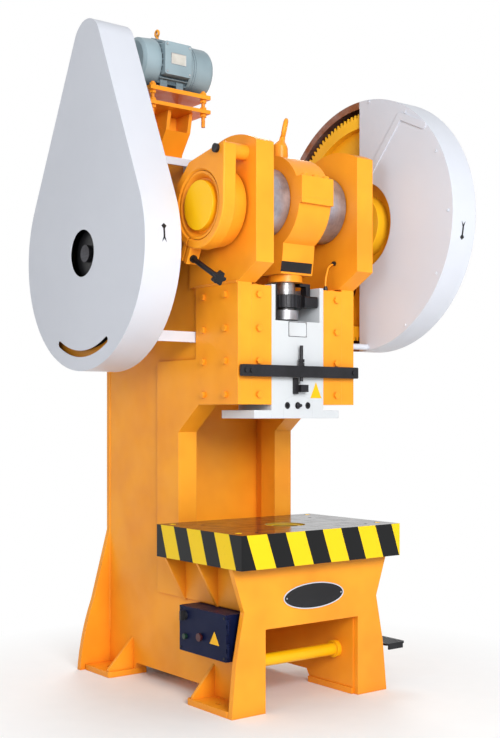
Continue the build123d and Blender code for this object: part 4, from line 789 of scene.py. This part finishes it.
def join_all(pieces):
    """Joins copies into one piece, each with its own mesh till now."""
    start_clean()
    for piece in pieces:
        piece.select_set(True)
    bpy.context.view_layer.objects.active = pieces[0]
    bpy.ops.object.join()
    return bpy.context.object


def copy_to(piece, offset):
    """A copy with its own mesh, moved by an offset."""
    focus(piece)
    bpy.ops.object.duplicate(linked=False)
    bpy.ops.transform.translate(value=offset)
    return bpy.context.object


def extent(piece, axis):
    """The lowest and the highest place of a piece's points along an axis."""
    places = [v.co[axis] for v in piece.data.vertices]
    return min(places), max(places)


FACING = 0.9
FACES = {
    "-X": ((0, -math.pi / 2, 0), Vector((-1, 0, 0))),
    "+X": ((0, math.pi / 2, 0), Vector((1, 0, 0))),
    "-Y": ((math.pi / 2, 0, 0), Vector((0, -1, 0))),
    "+Z": ((0, 0, 0), Vector((0, 0, 1))),
}


def disc(place, facing, radius, depth, sides=32):
    """A disc that stands proud of a surface: place is on the surface, facing is away from it."""
    turn, out = FACES[facing]
    start_clean()
    middle = at(*place) + out * depth / 2
    bpy.ops.mesh.primitive_cylinder_add(
        vertices=sides, radius=radius, depth=depth, location=middle, rotation=turn
    )
    piece = bpy.context.object
    apply_place(piece)
    return piece, out


def pick_outer(piece, out):
    """Selects the faces that look the way a piece faces."""
    pick(piece, lambda middle, normal: normal.dot(out) > FACING)


def slab(place, wide, high, depth, lean):
    """A thin plate on a surface that looks to the front. lean tips its foot back, about X."""
    out = FACES["-Y"][1]
    start_clean()
    bpy.ops.mesh.primitive_cube_add(size=1, location=at(*place) + out * depth / 2)
    piece = bpy.context.object
    piece.scale = (wide, depth, high)
    piece.rotation_euler.x = math.radians(lean)
    apply_place(piece)
    return piece, out


def sink_panel(piece, out, rim, depth):
    """Insets the outer face and sinks it inside a rim. The panel gets the second finish."""
    pick_outer(piece, out)
    inset(rim)
    push(-out * depth)
    leave_edit()
    piece.data.materials.append(None)
    piece.data.materials.append(None)
    for face in piece.data.polygons:
        face.material_index = 1 if face.select else 0


print("sides that a piece may be set on", *FACES)

# %% [markdown]
# ## Small round-headed screws
# Sheet-metal guards and plates are held by small pan-head screws. One is a
# short disc whose outer face is inset and pushed in for the driver, and whose
# rim is rounded. It is modelled once for each set, and the rest are copies. The
# first set runs round the lip of the gear guard.

# %% Screws
SOCKET_SHARE = 0.45
SOCKET_DEPTH = 0.5
SCREW_ROUNDING = 0.3


def screws(name, places, facing, radius, height, body, slot, finish, socket=SOCKET_SHARE):
    """A set of equal screws on one plane, joined into one piece."""
    wide, tall = radius / 1000, height / 1000
    first, out = disc(places[0], facing, wide, tall, 20)
    pick_outer(first, out)
    inset(wide * (1 - socket))
    push(-out * tall * SOCKET_DEPTH)
    bevel_all(first, tall * SCREW_ROUNDING)
    start = Vector(places[0])
    copies = [copy_to(first, (Vector(p) - start) / 1000) for p in places[1:]]
    return settle(join_all([first, *copies]), name, body, slot, finish)


GUARD_FACE_X = 466
GUARD_RING = (
    (212, 2790), (-29, 2691), (-223, 2475), (-296, 2200), (-223, 1927), (-29, 1705), (219, 1610),
)
GUARD_SCREWS = [(GUARD_FACE_X, y, z) for y, z in GUARD_RING]
screws("guard_screws", GUARD_SCREWS, "-X", 7, 4, "frame", "guard_paint", guard_enamel)
print("guard screws", len(GUARD_SCREWS))

# %% [markdown]
# ## The forged lifting eye
# The big end is lifted by an eye that is taller than a bought one: a round
# boss, a tapered neck and a long loop, all forged in one piece and leaning a
# little. The boss is drawn up from a disc by extruding and narrowing its top,
# the loop is a stretched circle with a round section, and a voxel remesh runs
# the two into one skin, as the forge does. It stands for the plainer eye of
# the CAD model and screws in at the same place.

# %% Lifting eye
EYE_PLACE = (-26, 280, 2462)
EYE_FOOT_RADIUS = 0.035
EYE_FOOT_HEIGHT = 0.004
EYE_STEPS = ((0.050, 0.97), (0.012, 0.80), (0.018, 0.52), (0.022, 0.86))
EYE_LOOP_RISE = 0.145
EYE_LOOP_RADIUS = 0.027
EYE_LOOP_STRETCH = 1.5
EYE_BAR_RADIUS = 0.0085
EYE_LEAN = 15
EYE_LEAN_RISE = 0.055
EYE_TURN = 50
EYE_VOXEL = 0.0024


def eye_boss():
    """The boss and its neck: a disc drawn up in steps, each with a narrower top."""
    boss, out = disc(EYE_PLACE, "+Z", EYE_FOOT_RADIUS, EYE_FOOT_HEIGHT)
    level = at(*EYE_PLACE)
    for rise, narrow in EYE_STEPS:
        _, top = extent(boss, 2)
        pick(boss, lambda middle, normal: normal.z > FACING and middle.z > top - 1e-5)
        push(out * rise)
        new_top = (level.x, level.y, top + rise)
        bpy.ops.transform.resize(value=(narrow, narrow, 1), center_override=new_top)
        leave_edit()
    return boss


def eye_loop():
    """The loop: a stretched circle with a round section, stood on edge."""
    start_clean()
    bpy.ops.curve.primitive_bezier_circle_add(radius=EYE_LOOP_RADIUS)
    loop = bpy.context.object
    loop.scale.y = EYE_LOOP_STRETCH
    apply_place(loop)
    loop.data.bevel_depth = EYE_BAR_RADIUS
    loop.data.bevel_resolution = 5
    loop.rotation_euler = (math.pi / 2, 0, math.radians(EYE_TURN))
    loop.location = at(*EYE_PLACE) + Vector((0, 0, EYE_LOOP_RISE))
    focus(loop)
    bpy.ops.object.convert(target="MESH")
    apply_place(loop)
    return loop


def lifting_eye():
    """Boss, neck and loop, run into one skin."""
    eye = join_all([eye_boss(), eye_loop()])
    lean_from = at(*EYE_PLACE) + Vector((0, 0, EYE_LEAN_RISE))
    lean = math.radians(-EYE_LEAN)
    pick(eye, lambda middle, normal: middle.z > lean_from.z)
    bpy.ops.transform.rotate(value=lean, orient_axis="Y", center_override=lean_from)
    finish_with(eye, "skin", "REMESH", mode="VOXEL", voxel_size=EYE_VOXEL)
    finish_with(eye, "soften", "SMOOTH", factor=0.6, iterations=4)
    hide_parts("conrod_eye_bolt")
    return settle(eye, "lifting_eye", "conrod", "ram_paint", frame_enamel)


eye_low, eye_high = extent(lifting_eye(), 2)
print("lifting eye from", round(eye_low, 3), "to", round(eye_high, 3))

# %% [markdown]
# ## The oval plate
# A rimmed oval is riveted to the front of the bed. It starts as a round disc
# that is stretched to its width and its height. Its face is inset for the rim
# and sunk for the panel, and the panel takes the second paint.

# %% Oval plate on the bed
OVAL_PLACE = (3, 80, 485)
OVAL_HALF = (0.175, 0.058)
OVAL_DEPTH = 0.005
OVAL_RIM = 0.0045
OVAL_SINK = 0.002
OVAL_ROUNDING = 0.0007
OVAL_RIVETS = [(3 + x, 77, 485) for x in (-158, 158)]

oval, outward = disc(OVAL_PLACE, "-Y", 1.0, OVAL_DEPTH, 96)
shape_all(oval, (OVAL_HALF[0], 1, OVAL_HALF[1]), at(*OVAL_PLACE))
sink_panel(oval, outward, OVAL_RIM, OVAL_SINK)
bevel_all(oval, OVAL_ROUNDING)
settle(oval, "oval_plate", "frame", "black_steel", guard_enamel, black_enamel)
screws("oval_rivets", OVAL_RIVETS, "-Y", 4, 3, "frame", "bright_steel", screw_steel, 0.2)
print("oval plate", 2 * OVAL_HALF[0], "by", 2 * OVAL_HALF[1], "m, rivets", len(OVAL_RIVETS))

# %% [markdown]
# ## Square plates from one table
# The plates on the ram, the connecting rod and the motor differ only in place,
# size and finish, so one row of a table makes each. The plate on the
# connecting rod leans back with the rod's face.

# %% Square plates
PLATE_DEPTH = 0.002
PLATE_RIM = 0.0025
PLATE_SINK = 0.0007
PLATE_ROUNDING = 0.0003
PLATES = (
    ("ram_plate", (-2, 187, 1676), 0.0, 0.106, 0.068, "slide", dark_steel, slide_enamel),
    ("rod_plate", (-6, 190.2, 1957), 9.3, 0.178, 0.046, "conrod", black_steel, black_enamel),
    ("motor_plate", (-310, 693, 2966), 0.0, 0.084, 0.052, "frame", screw_steel, panel_plastic),
)
for name, place, lean, wide, high, body, rim, panel in PLATES:
    plate, outward = slab(place, wide, high, PLATE_DEPTH, lean)
    sink_panel(plate, outward, PLATE_RIM, PLATE_SINK)
    bevel_all(plate, PLATE_ROUNDING)
    settle(plate, name, body, "black_steel", rim, panel)
print("square plates", len(PLATES))

# %% [markdown]
# ## Two yellow triangles
# A small yellow triangle sits low on the ram and another on the control door.
# A triangle is a cylinder with three sides, so it is started as one, stretched
# to its width, and its face is raised inside a thin step so that it reads as a
# plate and not as paint.

# %% Triangular plates
TRIANGLES = (
    ("ram_triangle", (107, 187, 1390), "-Y", 66, 73, "slide"),
    ("door_triangle", (-440, 222, 314), "-X", 70, 57, "door"),
)
TRIANGLE_DEPTH = 0.0016
TRIANGLE_EDGE = 0.003
TRIANGLE_STEP = 0.0006


def triangle_plate(name, place, facing, base, height, body):
    """A three-sided plate with a stepped face, point upwards."""
    plate, out = disc(place, facing, 1.0, TRIANGLE_DEPTH, 3)
    middle = at(*place)
    if facing == "-X":
        focus(plate)
        bpy.ops.transform.rotate(value=-math.pi / 2, orient_axis="X", center_override=middle)
        apply_place(plate)
    across = 0 if facing == "-Y" else 1
    left, right = extent(plate, across)
    low, high = extent(plate, 2)
    scale = [1.0, 1.0, height / 1000 / (high - low)]
    scale[across] = base / 1000 / (right - left)
    shape_all(plate, scale, middle)
    pick_outer(plate, out)
    inset(TRIANGLE_EDGE, TRIANGLE_STEP)
    bevel_all(plate, PLATE_ROUNDING, 1)
    return settle(plate, name, body, "yellow_paint", yellow_enamel)


for row in TRIANGLES:
    triangle_plate(*row)
print("triangles", len(TRIANGLES))

# %% [markdown]
# ## Arrows for the direction of turning
# Each guard carries a black arrow on its rim that tells the fitter which way
# the wheel behind it must run. A strip is extruded into a shaft, a diamond head
# and a forked tail. The flat sheet is divided finely, dropped on the curved
# guard with Shrinkwrap, and given its thickness last, so it follows the rim as
# a sticker does.

# %% Arrows
ARROW_HALF_LENGTH = 0.041
SHAFT_REACH = 0.018
SHAFT_HALF = 0.0042
HEAD_WIDENING = 0.013 / SHAFT_HALF
HEAD_FLARE = 0.012
HEAD_TIP = 0.02
TAIL_WIDENING = HEAD_WIDENING * 0.9
FORK_DEPTH = 0.016
SHEET_GAP = 0.0003
SHEET_DEPTH = 0.0012
ARROWS = (
    ("gear_arrow", (536.5, -345, 2113), -1, "gear_guard"),
    ("belt_arrow", (-628, 310, 2073.5), 1, "belt_guard"),
)


def flat_arrow(middle, points_up):
    """The arrow's outline as a flat sheet: shaft, diamond head and forked tail."""
    start_clean()
    bpy.ops.mesh.primitive_plane_add(size=1, location=middle, rotation=(math.pi / 2, 0, 0))
    arrow = bpy.context.object
    arrow.scale = (2 * SHAFT_HALF, 2 * SHAFT_REACH, 1)
    apply_place(arrow)

    def pick_end(up):
        """Selects the highest edge if up is 1, and the lowest if it is -1."""
        reach = max(up * v.co.z for v in arrow.data.vertices)
        pick(arrow, lambda where, way: up * where.z > reach - 1e-5, "EDGE")

    steps = (
        (points_up, HEAD_FLARE, HEAD_WIDENING),
        (points_up, ARROW_HALF_LENGTH - SHAFT_REACH - HEAD_FLARE, HEAD_TIP),
        (-points_up, ARROW_HALF_LENGTH - SHAFT_REACH, TAIL_WIDENING),
    )
    for way, length, factor in steps:
        pick_end(way)
        bpy.ops.mesh.extrude_edges_move(TRANSFORM_OT_translate={"value": (0, 0, way * length)})
        bpy.ops.transform.resize(value=(factor, 1, 1), center_override=middle)
        leave_edit()
    pick_end(-points_up)
    bpy.ops.mesh.subdivide(number_cuts=1)
    leave_edit()
    for vertex in arrow.data.vertices:
        back = points_up * (middle.z - vertex.co.z)
        if abs(vertex.co.x - middle.x) < 1e-5 and back > ARROW_HALF_LENGTH - 1e-4:
            vertex.co.z += points_up * FORK_DEPTH
    return arrow


def rotation_arrow(name, place, points_up, guard):
    """A sheet arrow laid on the front of a guard's rim. points_up is 1 or -1."""
    arrow = flat_arrow(at(*place), points_up)
    pick(arrow, lambda where, normal: True)
    bpy.ops.mesh.quads_convert_to_tris()
    bpy.ops.mesh.subdivide(number_cuts=3)
    finish_with(
        arrow, "drop", "SHRINKWRAP",
        target=nodes[guard], wrap_method="PROJECT", use_project_y=True,
        use_positive_direction=True, use_negative_direction=True, offset=SHEET_GAP,
    )
    finish_with(arrow, "sheet", "SOLIDIFY", thickness=SHEET_DEPTH, offset=1)
    pick(arrow, lambda where, normal: True)
    bpy.ops.mesh.remove_doubles(threshold=0.00002)
    bpy.ops.mesh.normals_make_consistent(inside=False)
    return settle(arrow, name, "frame", "black_steel", black_enamel)


for row in ARROWS:
    made = rotation_arrow(*row)
    print(made.name, len(made.data.vertices), "points")

# %% [markdown]
# ## The oil pipe
# A thin pipe feeds the crankshaft bearing beside the connecting rod. Pipe is
# bent round a former, so a curve with a round bevel gives its even bends. It is
# turned into a mesh when its line is right. Its union is a six-sided bar with
# turned ends, started as a cylinder of six sides.

# %% Pipes and unions
COLLAR_INSET = 0.16
COLLAR_RISE = 0.35


def pipe(name, points, radius, body, slot, finish):
    """A bent pipe through a row of places, in the fitter's millimetres."""
    start_clean()
    bpy.ops.curve.primitive_bezier_curve_add(radius=0.01)
    line = bpy.context.object
    spline = line.data.splines[0]
    spline.bezier_points.add(len(points) - 2)
    for knot, point in zip(spline.bezier_points, points):
        knot.co = at(*point)
        knot.handle_left_type = knot.handle_right_type = "AUTO"
    line.data.bevel_depth = radius / 1000
    line.data.bevel_resolution = 4
    line.data.use_fill_caps = True
    focus(line)
    bpy.ops.object.convert(target="MESH")
    return settle(bpy.context.object, name, body, slot, finish)


def union_nut(name, place, facing, across, height, body, slot, finish):
    """A hexagon with a turned collar on its outer end."""
    wide, tall = across / 1000, height / 1000
    nut, out = disc(place, facing, wide / 2 / math.cos(math.pi / 6), tall, 6)
    pick_outer(nut, out)
    inset(wide * COLLAR_INSET)
    push(out * tall * COLLAR_RISE)
    bevel_all(nut, wide * 0.05)
    return settle(nut, name, body, slot, finish)


OIL_PIPE = (
    (182, 205, 1866), (182, 205, 1912), (192, 206, 1950), (206, 208, 1978), (246, 210, 1996),
)
pipe("oil_pipe", OIL_PIPE, 4.5, "frame", "frame_paint", frame_enamel)
union_nut("oil_union", (182, 205, 1864), "+Z", 19, 16, "frame", "black_steel", black_steel)
union_nut("oil_union_top", (244, 210, 1996), "-X", 19, 12, "frame", "black_steel", black_steel)
print("oil pipe through", len(OIL_PIPE), "places")

# %% [markdown]
# ## Screw threads
# The ram screw, the motor's studs and the brake's spindle are threaded. A
# thread is one small tooth carried round and along the axis at once, which is
# what the Screw modifier does. The tooth is a loop of four points, and the
# modifier winds it for as many turns as the pitch allows. Its open ends are
# filled, so that each thread is a closed body.

# %% Threads
TOOTH_WIDTH = 0.55
TOOTH_HEIGHT = 0.3
TOOTH_TIP = 0.12
TOOTH_ROOT = 0.3


def tooth_loop(radius, pitch):
    """The outline of one tooth in the XZ plane, as a mesh of edges only."""
    start_clean()
    bpy.ops.mesh.primitive_plane_add(size=1, location=(0, 0, 0))
    loop = bpy.context.object
    edit(loop)
    bpy.ops.mesh.delete(type="ONLY_FACE")
    leave_edit()
    half = pitch * TOOTH_WIDTH / 2
    tip = pitch * TOOTH_WIDTH * TOOTH_TIP
    root, crest = radius - TOOTH_ROOT, radius + pitch * TOOTH_HEIGHT
    outline = ((root, -half), (root, half), (crest, tip), (crest, -tip))
    order = sorted(loop.data.vertices, key=lambda v: math.atan2(v.co.y, v.co.x))
    for vertex, (out, along) in zip(order, outline):
        vertex.co = (out / 1000, 0, along / 1000)
    return loop


def thread(name, start, way, radius, pitch, turns, body, slot, finish, steps=20):
    """Thread ridges wound round a bar. way is the bar's own direction."""
    ridge = tooth_loop(radius, pitch)
    finish_with(
        ridge, "wind", "SCREW",
        render_steps=steps, steps=steps, iterations=turns, screw_offset=pitch / 1000,
        use_normal_calculate=True,
    )
    pick(ridge, lambda middle, normal: True, "EDGE")
    bpy.ops.mesh.fill_holes(sides=5)
    bpy.ops.mesh.select_all(action="SELECT")
    bpy.ops.mesh.normals_make_consistent(inside=False)
    leave_edit()
    ridge.rotation_euler = Vector(way).normalized().to_track_quat("Z", "Y").to_euler()
    ridge.location = at(*start)
    return settle(ridge, name, body, slot, finish)


UPWARDS = (0, 0, 1)
SPINDLE_START = (-456, 200.938, 1893.034)
SPINDLE_WAY = (0, -0.883, -0.469)
THREADS = (
    ("ram_thread", (0, 280, 1839), UPWARDS, 46, 6, 8, "conrod", screw_steel),
    ("brake_thread", SPINDLE_START, SPINDLE_WAY, 8, 2.5, 7, "frame", black_steel),
)
for name, start, way, radius, pitch, turns, body, finish in THREADS:
    thread(name, start, way, radius, pitch, turns, body, "bright_steel", finish)
STUD_RUNS = ((2677, 18), (2772, 8))
STUD_X = (-434, -146)
STUD_Y = (726, 954)
STUD_RADIUS = 9
STUD_PITCH = 2.5
STUD_STEPS = 12
studs = [
    thread(
        "stud", (x, y, z), UPWARDS, STUD_RADIUS, STUD_PITCH, turns,
        "frame", "frame_paint", frame_enamel, STUD_STEPS,
    )
    for x in STUD_X for y in STUD_Y for z, turns in STUD_RUNS
]
settle(join_all(studs), "stud_threads", "frame", "frame_paint")
print("threads", len(THREADS) + len(studs))

# %% [markdown]
# ## Weld beads
# The frame is welded from plate, and a bead runs along its main inside corners.
# A bead looks like a row of coins pushed over, so one coin is modelled: a short
# cylinder whose two faces are inset and raised. An Array modifier lays out the
# row, and the row is turned to lie along its corner.

# %% Beads
BEAD_STEP = 5.0
COIN_SIDES = 10
COIN_INSET = 0.16
COIN_CROWN = 0.35


def bead(start, end, radius):
    """One weld bead between two places, in the fitter's millimetres."""
    run = Vector(end) - Vector(start)
    step, wide = BEAD_STEP / 1000, radius / 1000
    start_clean()
    bpy.ops.mesh.primitive_cylinder_add(
        vertices=COIN_SIDES, radius=wide, depth=step, location=(0, 0, step / 2)
    )
    coin = bpy.context.object
    apply_place(coin)
    pick(coin, lambda middle, normal: abs(normal.z) > FACING)
    bpy.ops.mesh.inset(thickness=wide * COIN_INSET, depth=0, use_individual=True)
    leave_edit()
    ends = [f for f in coin.data.polygons if abs(f.normal.z) > FACING and f.select]
    for face in ends:
        for index in face.vertices:
            crown = math.copysign(step * COIN_CROWN, face.normal.z)
            coin.data.vertices[index].co.z += crown
    finish_with(
        coin, "row", "ARRAY",
        use_relative_offset=False, use_constant_offset=True,
        constant_offset_displace=(0, 0, step), count=max(2, round(run.length / BEAD_STEP)),
    )
    coin.rotation_euler = run.to_track_quat("Z", "Y").to_euler()
    coin.location = at(*start)
    apply_place(coin)
    return coin


BEADS = (
    ((-340, 192, 1872), (-340, 505, 1872), 5),
    ((340, 192, 1872), (340, 505, 1872), 5),
    ((-328, 834, 1250), (-328, 834, 1540), 5),
    ((-328, 834, 445), (-328, 834, 1200), 5),
    ((-328, 340, 440), (-328, 605, 440), 5),
    ((-328, 1299, 190), (-328, 1299, 2240), 4),
    ((328, 1299, 190), (328, 1299, 2240), 4),
)
seams = join_all([bead(*row) for row in BEADS])
settle(seams, "weld_beads", "frame", "frame_paint", frame_enamel)
print("weld beads", len(BEADS), len(seams.data.polygons), "faces")

# %% [markdown]
# ## Tread of the treadle
# The foot plate has a raised pattern so that a boot doesn't slip. One lozenge
# is drawn from a four-sided cylinder, rounded, and copied in rows. Every other
# row is shifted sideways, as on chequer plate.

# %% Treadle tread
TREAD_START = (489, 114, 206)
TREAD_ROWS, TREAD_COLUMNS = 9, 6
TREAD_STEP_X, TREAD_STEP_Y = 17, 17.5
TREAD_SHIFT = 8
LOZENGE_REACH = 0.0085
LOZENGE_HEIGHT = 0.002
LOZENGE_NARROW = 0.34


def tread():
    """Lozenges in rows over the foot plate."""
    first, _ = disc(TREAD_START, "+Z", LOZENGE_REACH, LOZENGE_HEIGHT, 4)
    shape_all(first, (1, LOZENGE_NARROW, 1), at(*TREAD_START))
    bevel_all(first, 0.0007, 1)
    lozenges = [first]
    for row in range(TREAD_ROWS):
        for column in range(TREAD_COLUMNS):
            if row or column:
                x = column * TREAD_STEP_X + (TREAD_SHIFT if row % 2 else 0)
                lozenges.append(copy_to(first, Vector((x, row * TREAD_STEP_Y, 0)) / 1000))
    return settle(join_all(lozenges), "treadle_tread", "pedal", "black_steel", dark_steel)


print("tread", len(tread().data.polygons), "faces")

# %% [markdown]
# ## Fixings on the door, the motor and the ram
# Sheet parts carry a fixing near each corner: the control door, the lid of the
# motor's terminal box and the plate on the ram. They are sets of the same
# screw, each on its own plane.

# %% Fixings
DOOR_SCREWS = [(-440, y, z) for y in (150, 480) for z in (246, 418)]
screws("door_screws", DOOR_SCREWS, "-X", 5.5, 3, "door", "black_steel", black_steel, 0.35)
LID_SCREWS = [(x, 693, z) for x in (-373, -248) for z in (2902, 3030)]
screws("lid_screws", LID_SCREWS, "-Y", 5, 3, "frame", "bright_steel", screw_steel, 0.35)
RAM_RIVETS = [(-2 + x, 186.4, 1676 + z) for x in (-47, 47) for z in (-28, 28)]
RIVET_STUFF = ("slide", "bright_steel", screw_steel)
screws("ram_plate_rivets", RAM_RIVETS, "-Y", 2.2, 1.8, *RIVET_STUFF, 0.2)
print("fixings", len(DOOR_SCREWS) + len(LID_SCREWS) + len(RAM_RIVETS))

# %% [markdown]
# ## The set screw on the ram
# Between the two sunk bolts of the punch clamp stands a longer set screw, held
# by a lock nut, so that the clamp can be eased without losing its setting. The
# nut is a union's hexagon again. The screw is a long disc whose end is drawn
# out and narrowed, with a socket sunk in it for the key.

# %% Set screw
SCREW_X, SCREW_Z = 0, 1331
SCREW_REACH = 27
SCREW_NECK = 3
SCREW_RADIUS = 6.5
NECK_NARROW = 0.72
KEY_EDGE = 0.0018
KEY_DEPTH = 0.004
SCREW_STUFF = ("slide", "bright_steel", dark_steel)

nut_place = (SCREW_X, 187, SCREW_Z)
union_nut("set_screw_nut", nut_place, "-Y", 21, 9, "slide", "black_steel", dark_steel)
stub_length = (SCREW_REACH - SCREW_NECK) / 1000
stub, outward = disc((SCREW_X, 188, SCREW_Z), "-Y", SCREW_RADIUS / 1000, stub_length, 24)
pick_outer(stub, outward)
push(outward * SCREW_NECK / 1000)
bpy.ops.transform.resize(value=(NECK_NARROW, 1, NECK_NARROW))
inset(KEY_EDGE)
push(-outward * KEY_DEPTH)
bevel_all(stub, 0.0004)
settle(stub, "set_screw", *SCREW_STUFF)
thread_start = (SCREW_X, 163, SCREW_Z)
thread("set_screw_thread", thread_start, (0, 1, 0), SCREW_RADIUS, 1.8, 7, *SCREW_STUFF, 16)
print("set screw reaches", SCREW_REACH, "mm")

# %% [markdown]
# ## Rolled beads on the motor's cowl
# The pressed cowl is stiffened by two rolled beads near its open end. A bead is
# a band of sheet: a cylinder without ends, given its thickness outwards and a
# rounded edge.

# %% Cowl beads
COWL_AXIS = (835, 2959)
COWL_BEADS = (-205, -193)
BAND_RADIUS = 0.1221
BAND_WIDTH = 0.003
BAND_DEPTH = 0.0018


def rolled_bead(x):
    """A narrow raised band round the cowl."""
    start_clean()
    bpy.ops.mesh.primitive_cylinder_add(
        vertices=72, radius=BAND_RADIUS, depth=BAND_WIDTH,
        end_fill_type="NOTHING", location=at(x, *COWL_AXIS), rotation=FACES["+X"][0],
    )
    band = bpy.context.object
    apply_place(band)
    finish_with(band, "sheet", "SOLIDIFY", thickness=BAND_DEPTH, offset=1)
    bevel_all(band, 0.0005, 2, 60)
    return band


cowl_beads = join_all([rolled_bead(x) for x in COWL_BEADS])
settle(cowl_beads, "cowl_beads", "frame", "motor_paint", motor_enamel)
print("cowl beads", len(COWL_BEADS))

# %% [markdown]
# ## Discs in the flywheel's windows
# No daylight shows through the wheel, so its five windows are closed by black
# sheet discs with a pressed dish, which stand for the shade behind the wheel as
# painted shade. The dish is an inset of the disc's face pushed back a little.

# %% Window discs
WINDOW_RING = 277.5
WINDOW_RADIUS = 77.4
WINDOW_COUNT = 5
WEB_FACE_X = -644
DISC_DEPTH = 0.002
DISC_RIM = 0.012
DISH_WALL = 0.006
DISH_SINK = 0.0012


def shade_disc(turn):
    """One dished disc, turn radians round the wheel."""
    y = WHEEL_AXIS[0] + WINDOW_RING * math.cos(turn)
    z = WHEEL_AXIS[1] + WINDOW_RING * math.sin(turn)
    plate, out = disc((WEB_FACE_X, y, z), "-X", WINDOW_RADIUS / 1000, DISC_DEPTH, 48)
    pick_outer(plate, out)
    inset(DISC_RIM)
    inset(DISH_WALL, -DISH_SINK)
    bevel_all(plate, 0.0004, 1)
    return plate


window_turns = [step * math.tau / WINDOW_COUNT for step in range(WINDOW_COUNT)]
# Painted shade: black discs fill the windows, where only the shade behind the wheel shows.
window_discs = join_all([shade_disc(turn) for turn in window_turns])
settle(window_discs, "window_discs", "flywheel", "black_steel", black_enamel)
print("window discs", WINDOW_COUNT)

# %% [markdown]
# ## Closing the script
# The box round the visual model is measured and printed.

# %% Measure and finish
low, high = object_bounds()
print("visual box", [round(v, 3) for v in (*low, *high)])
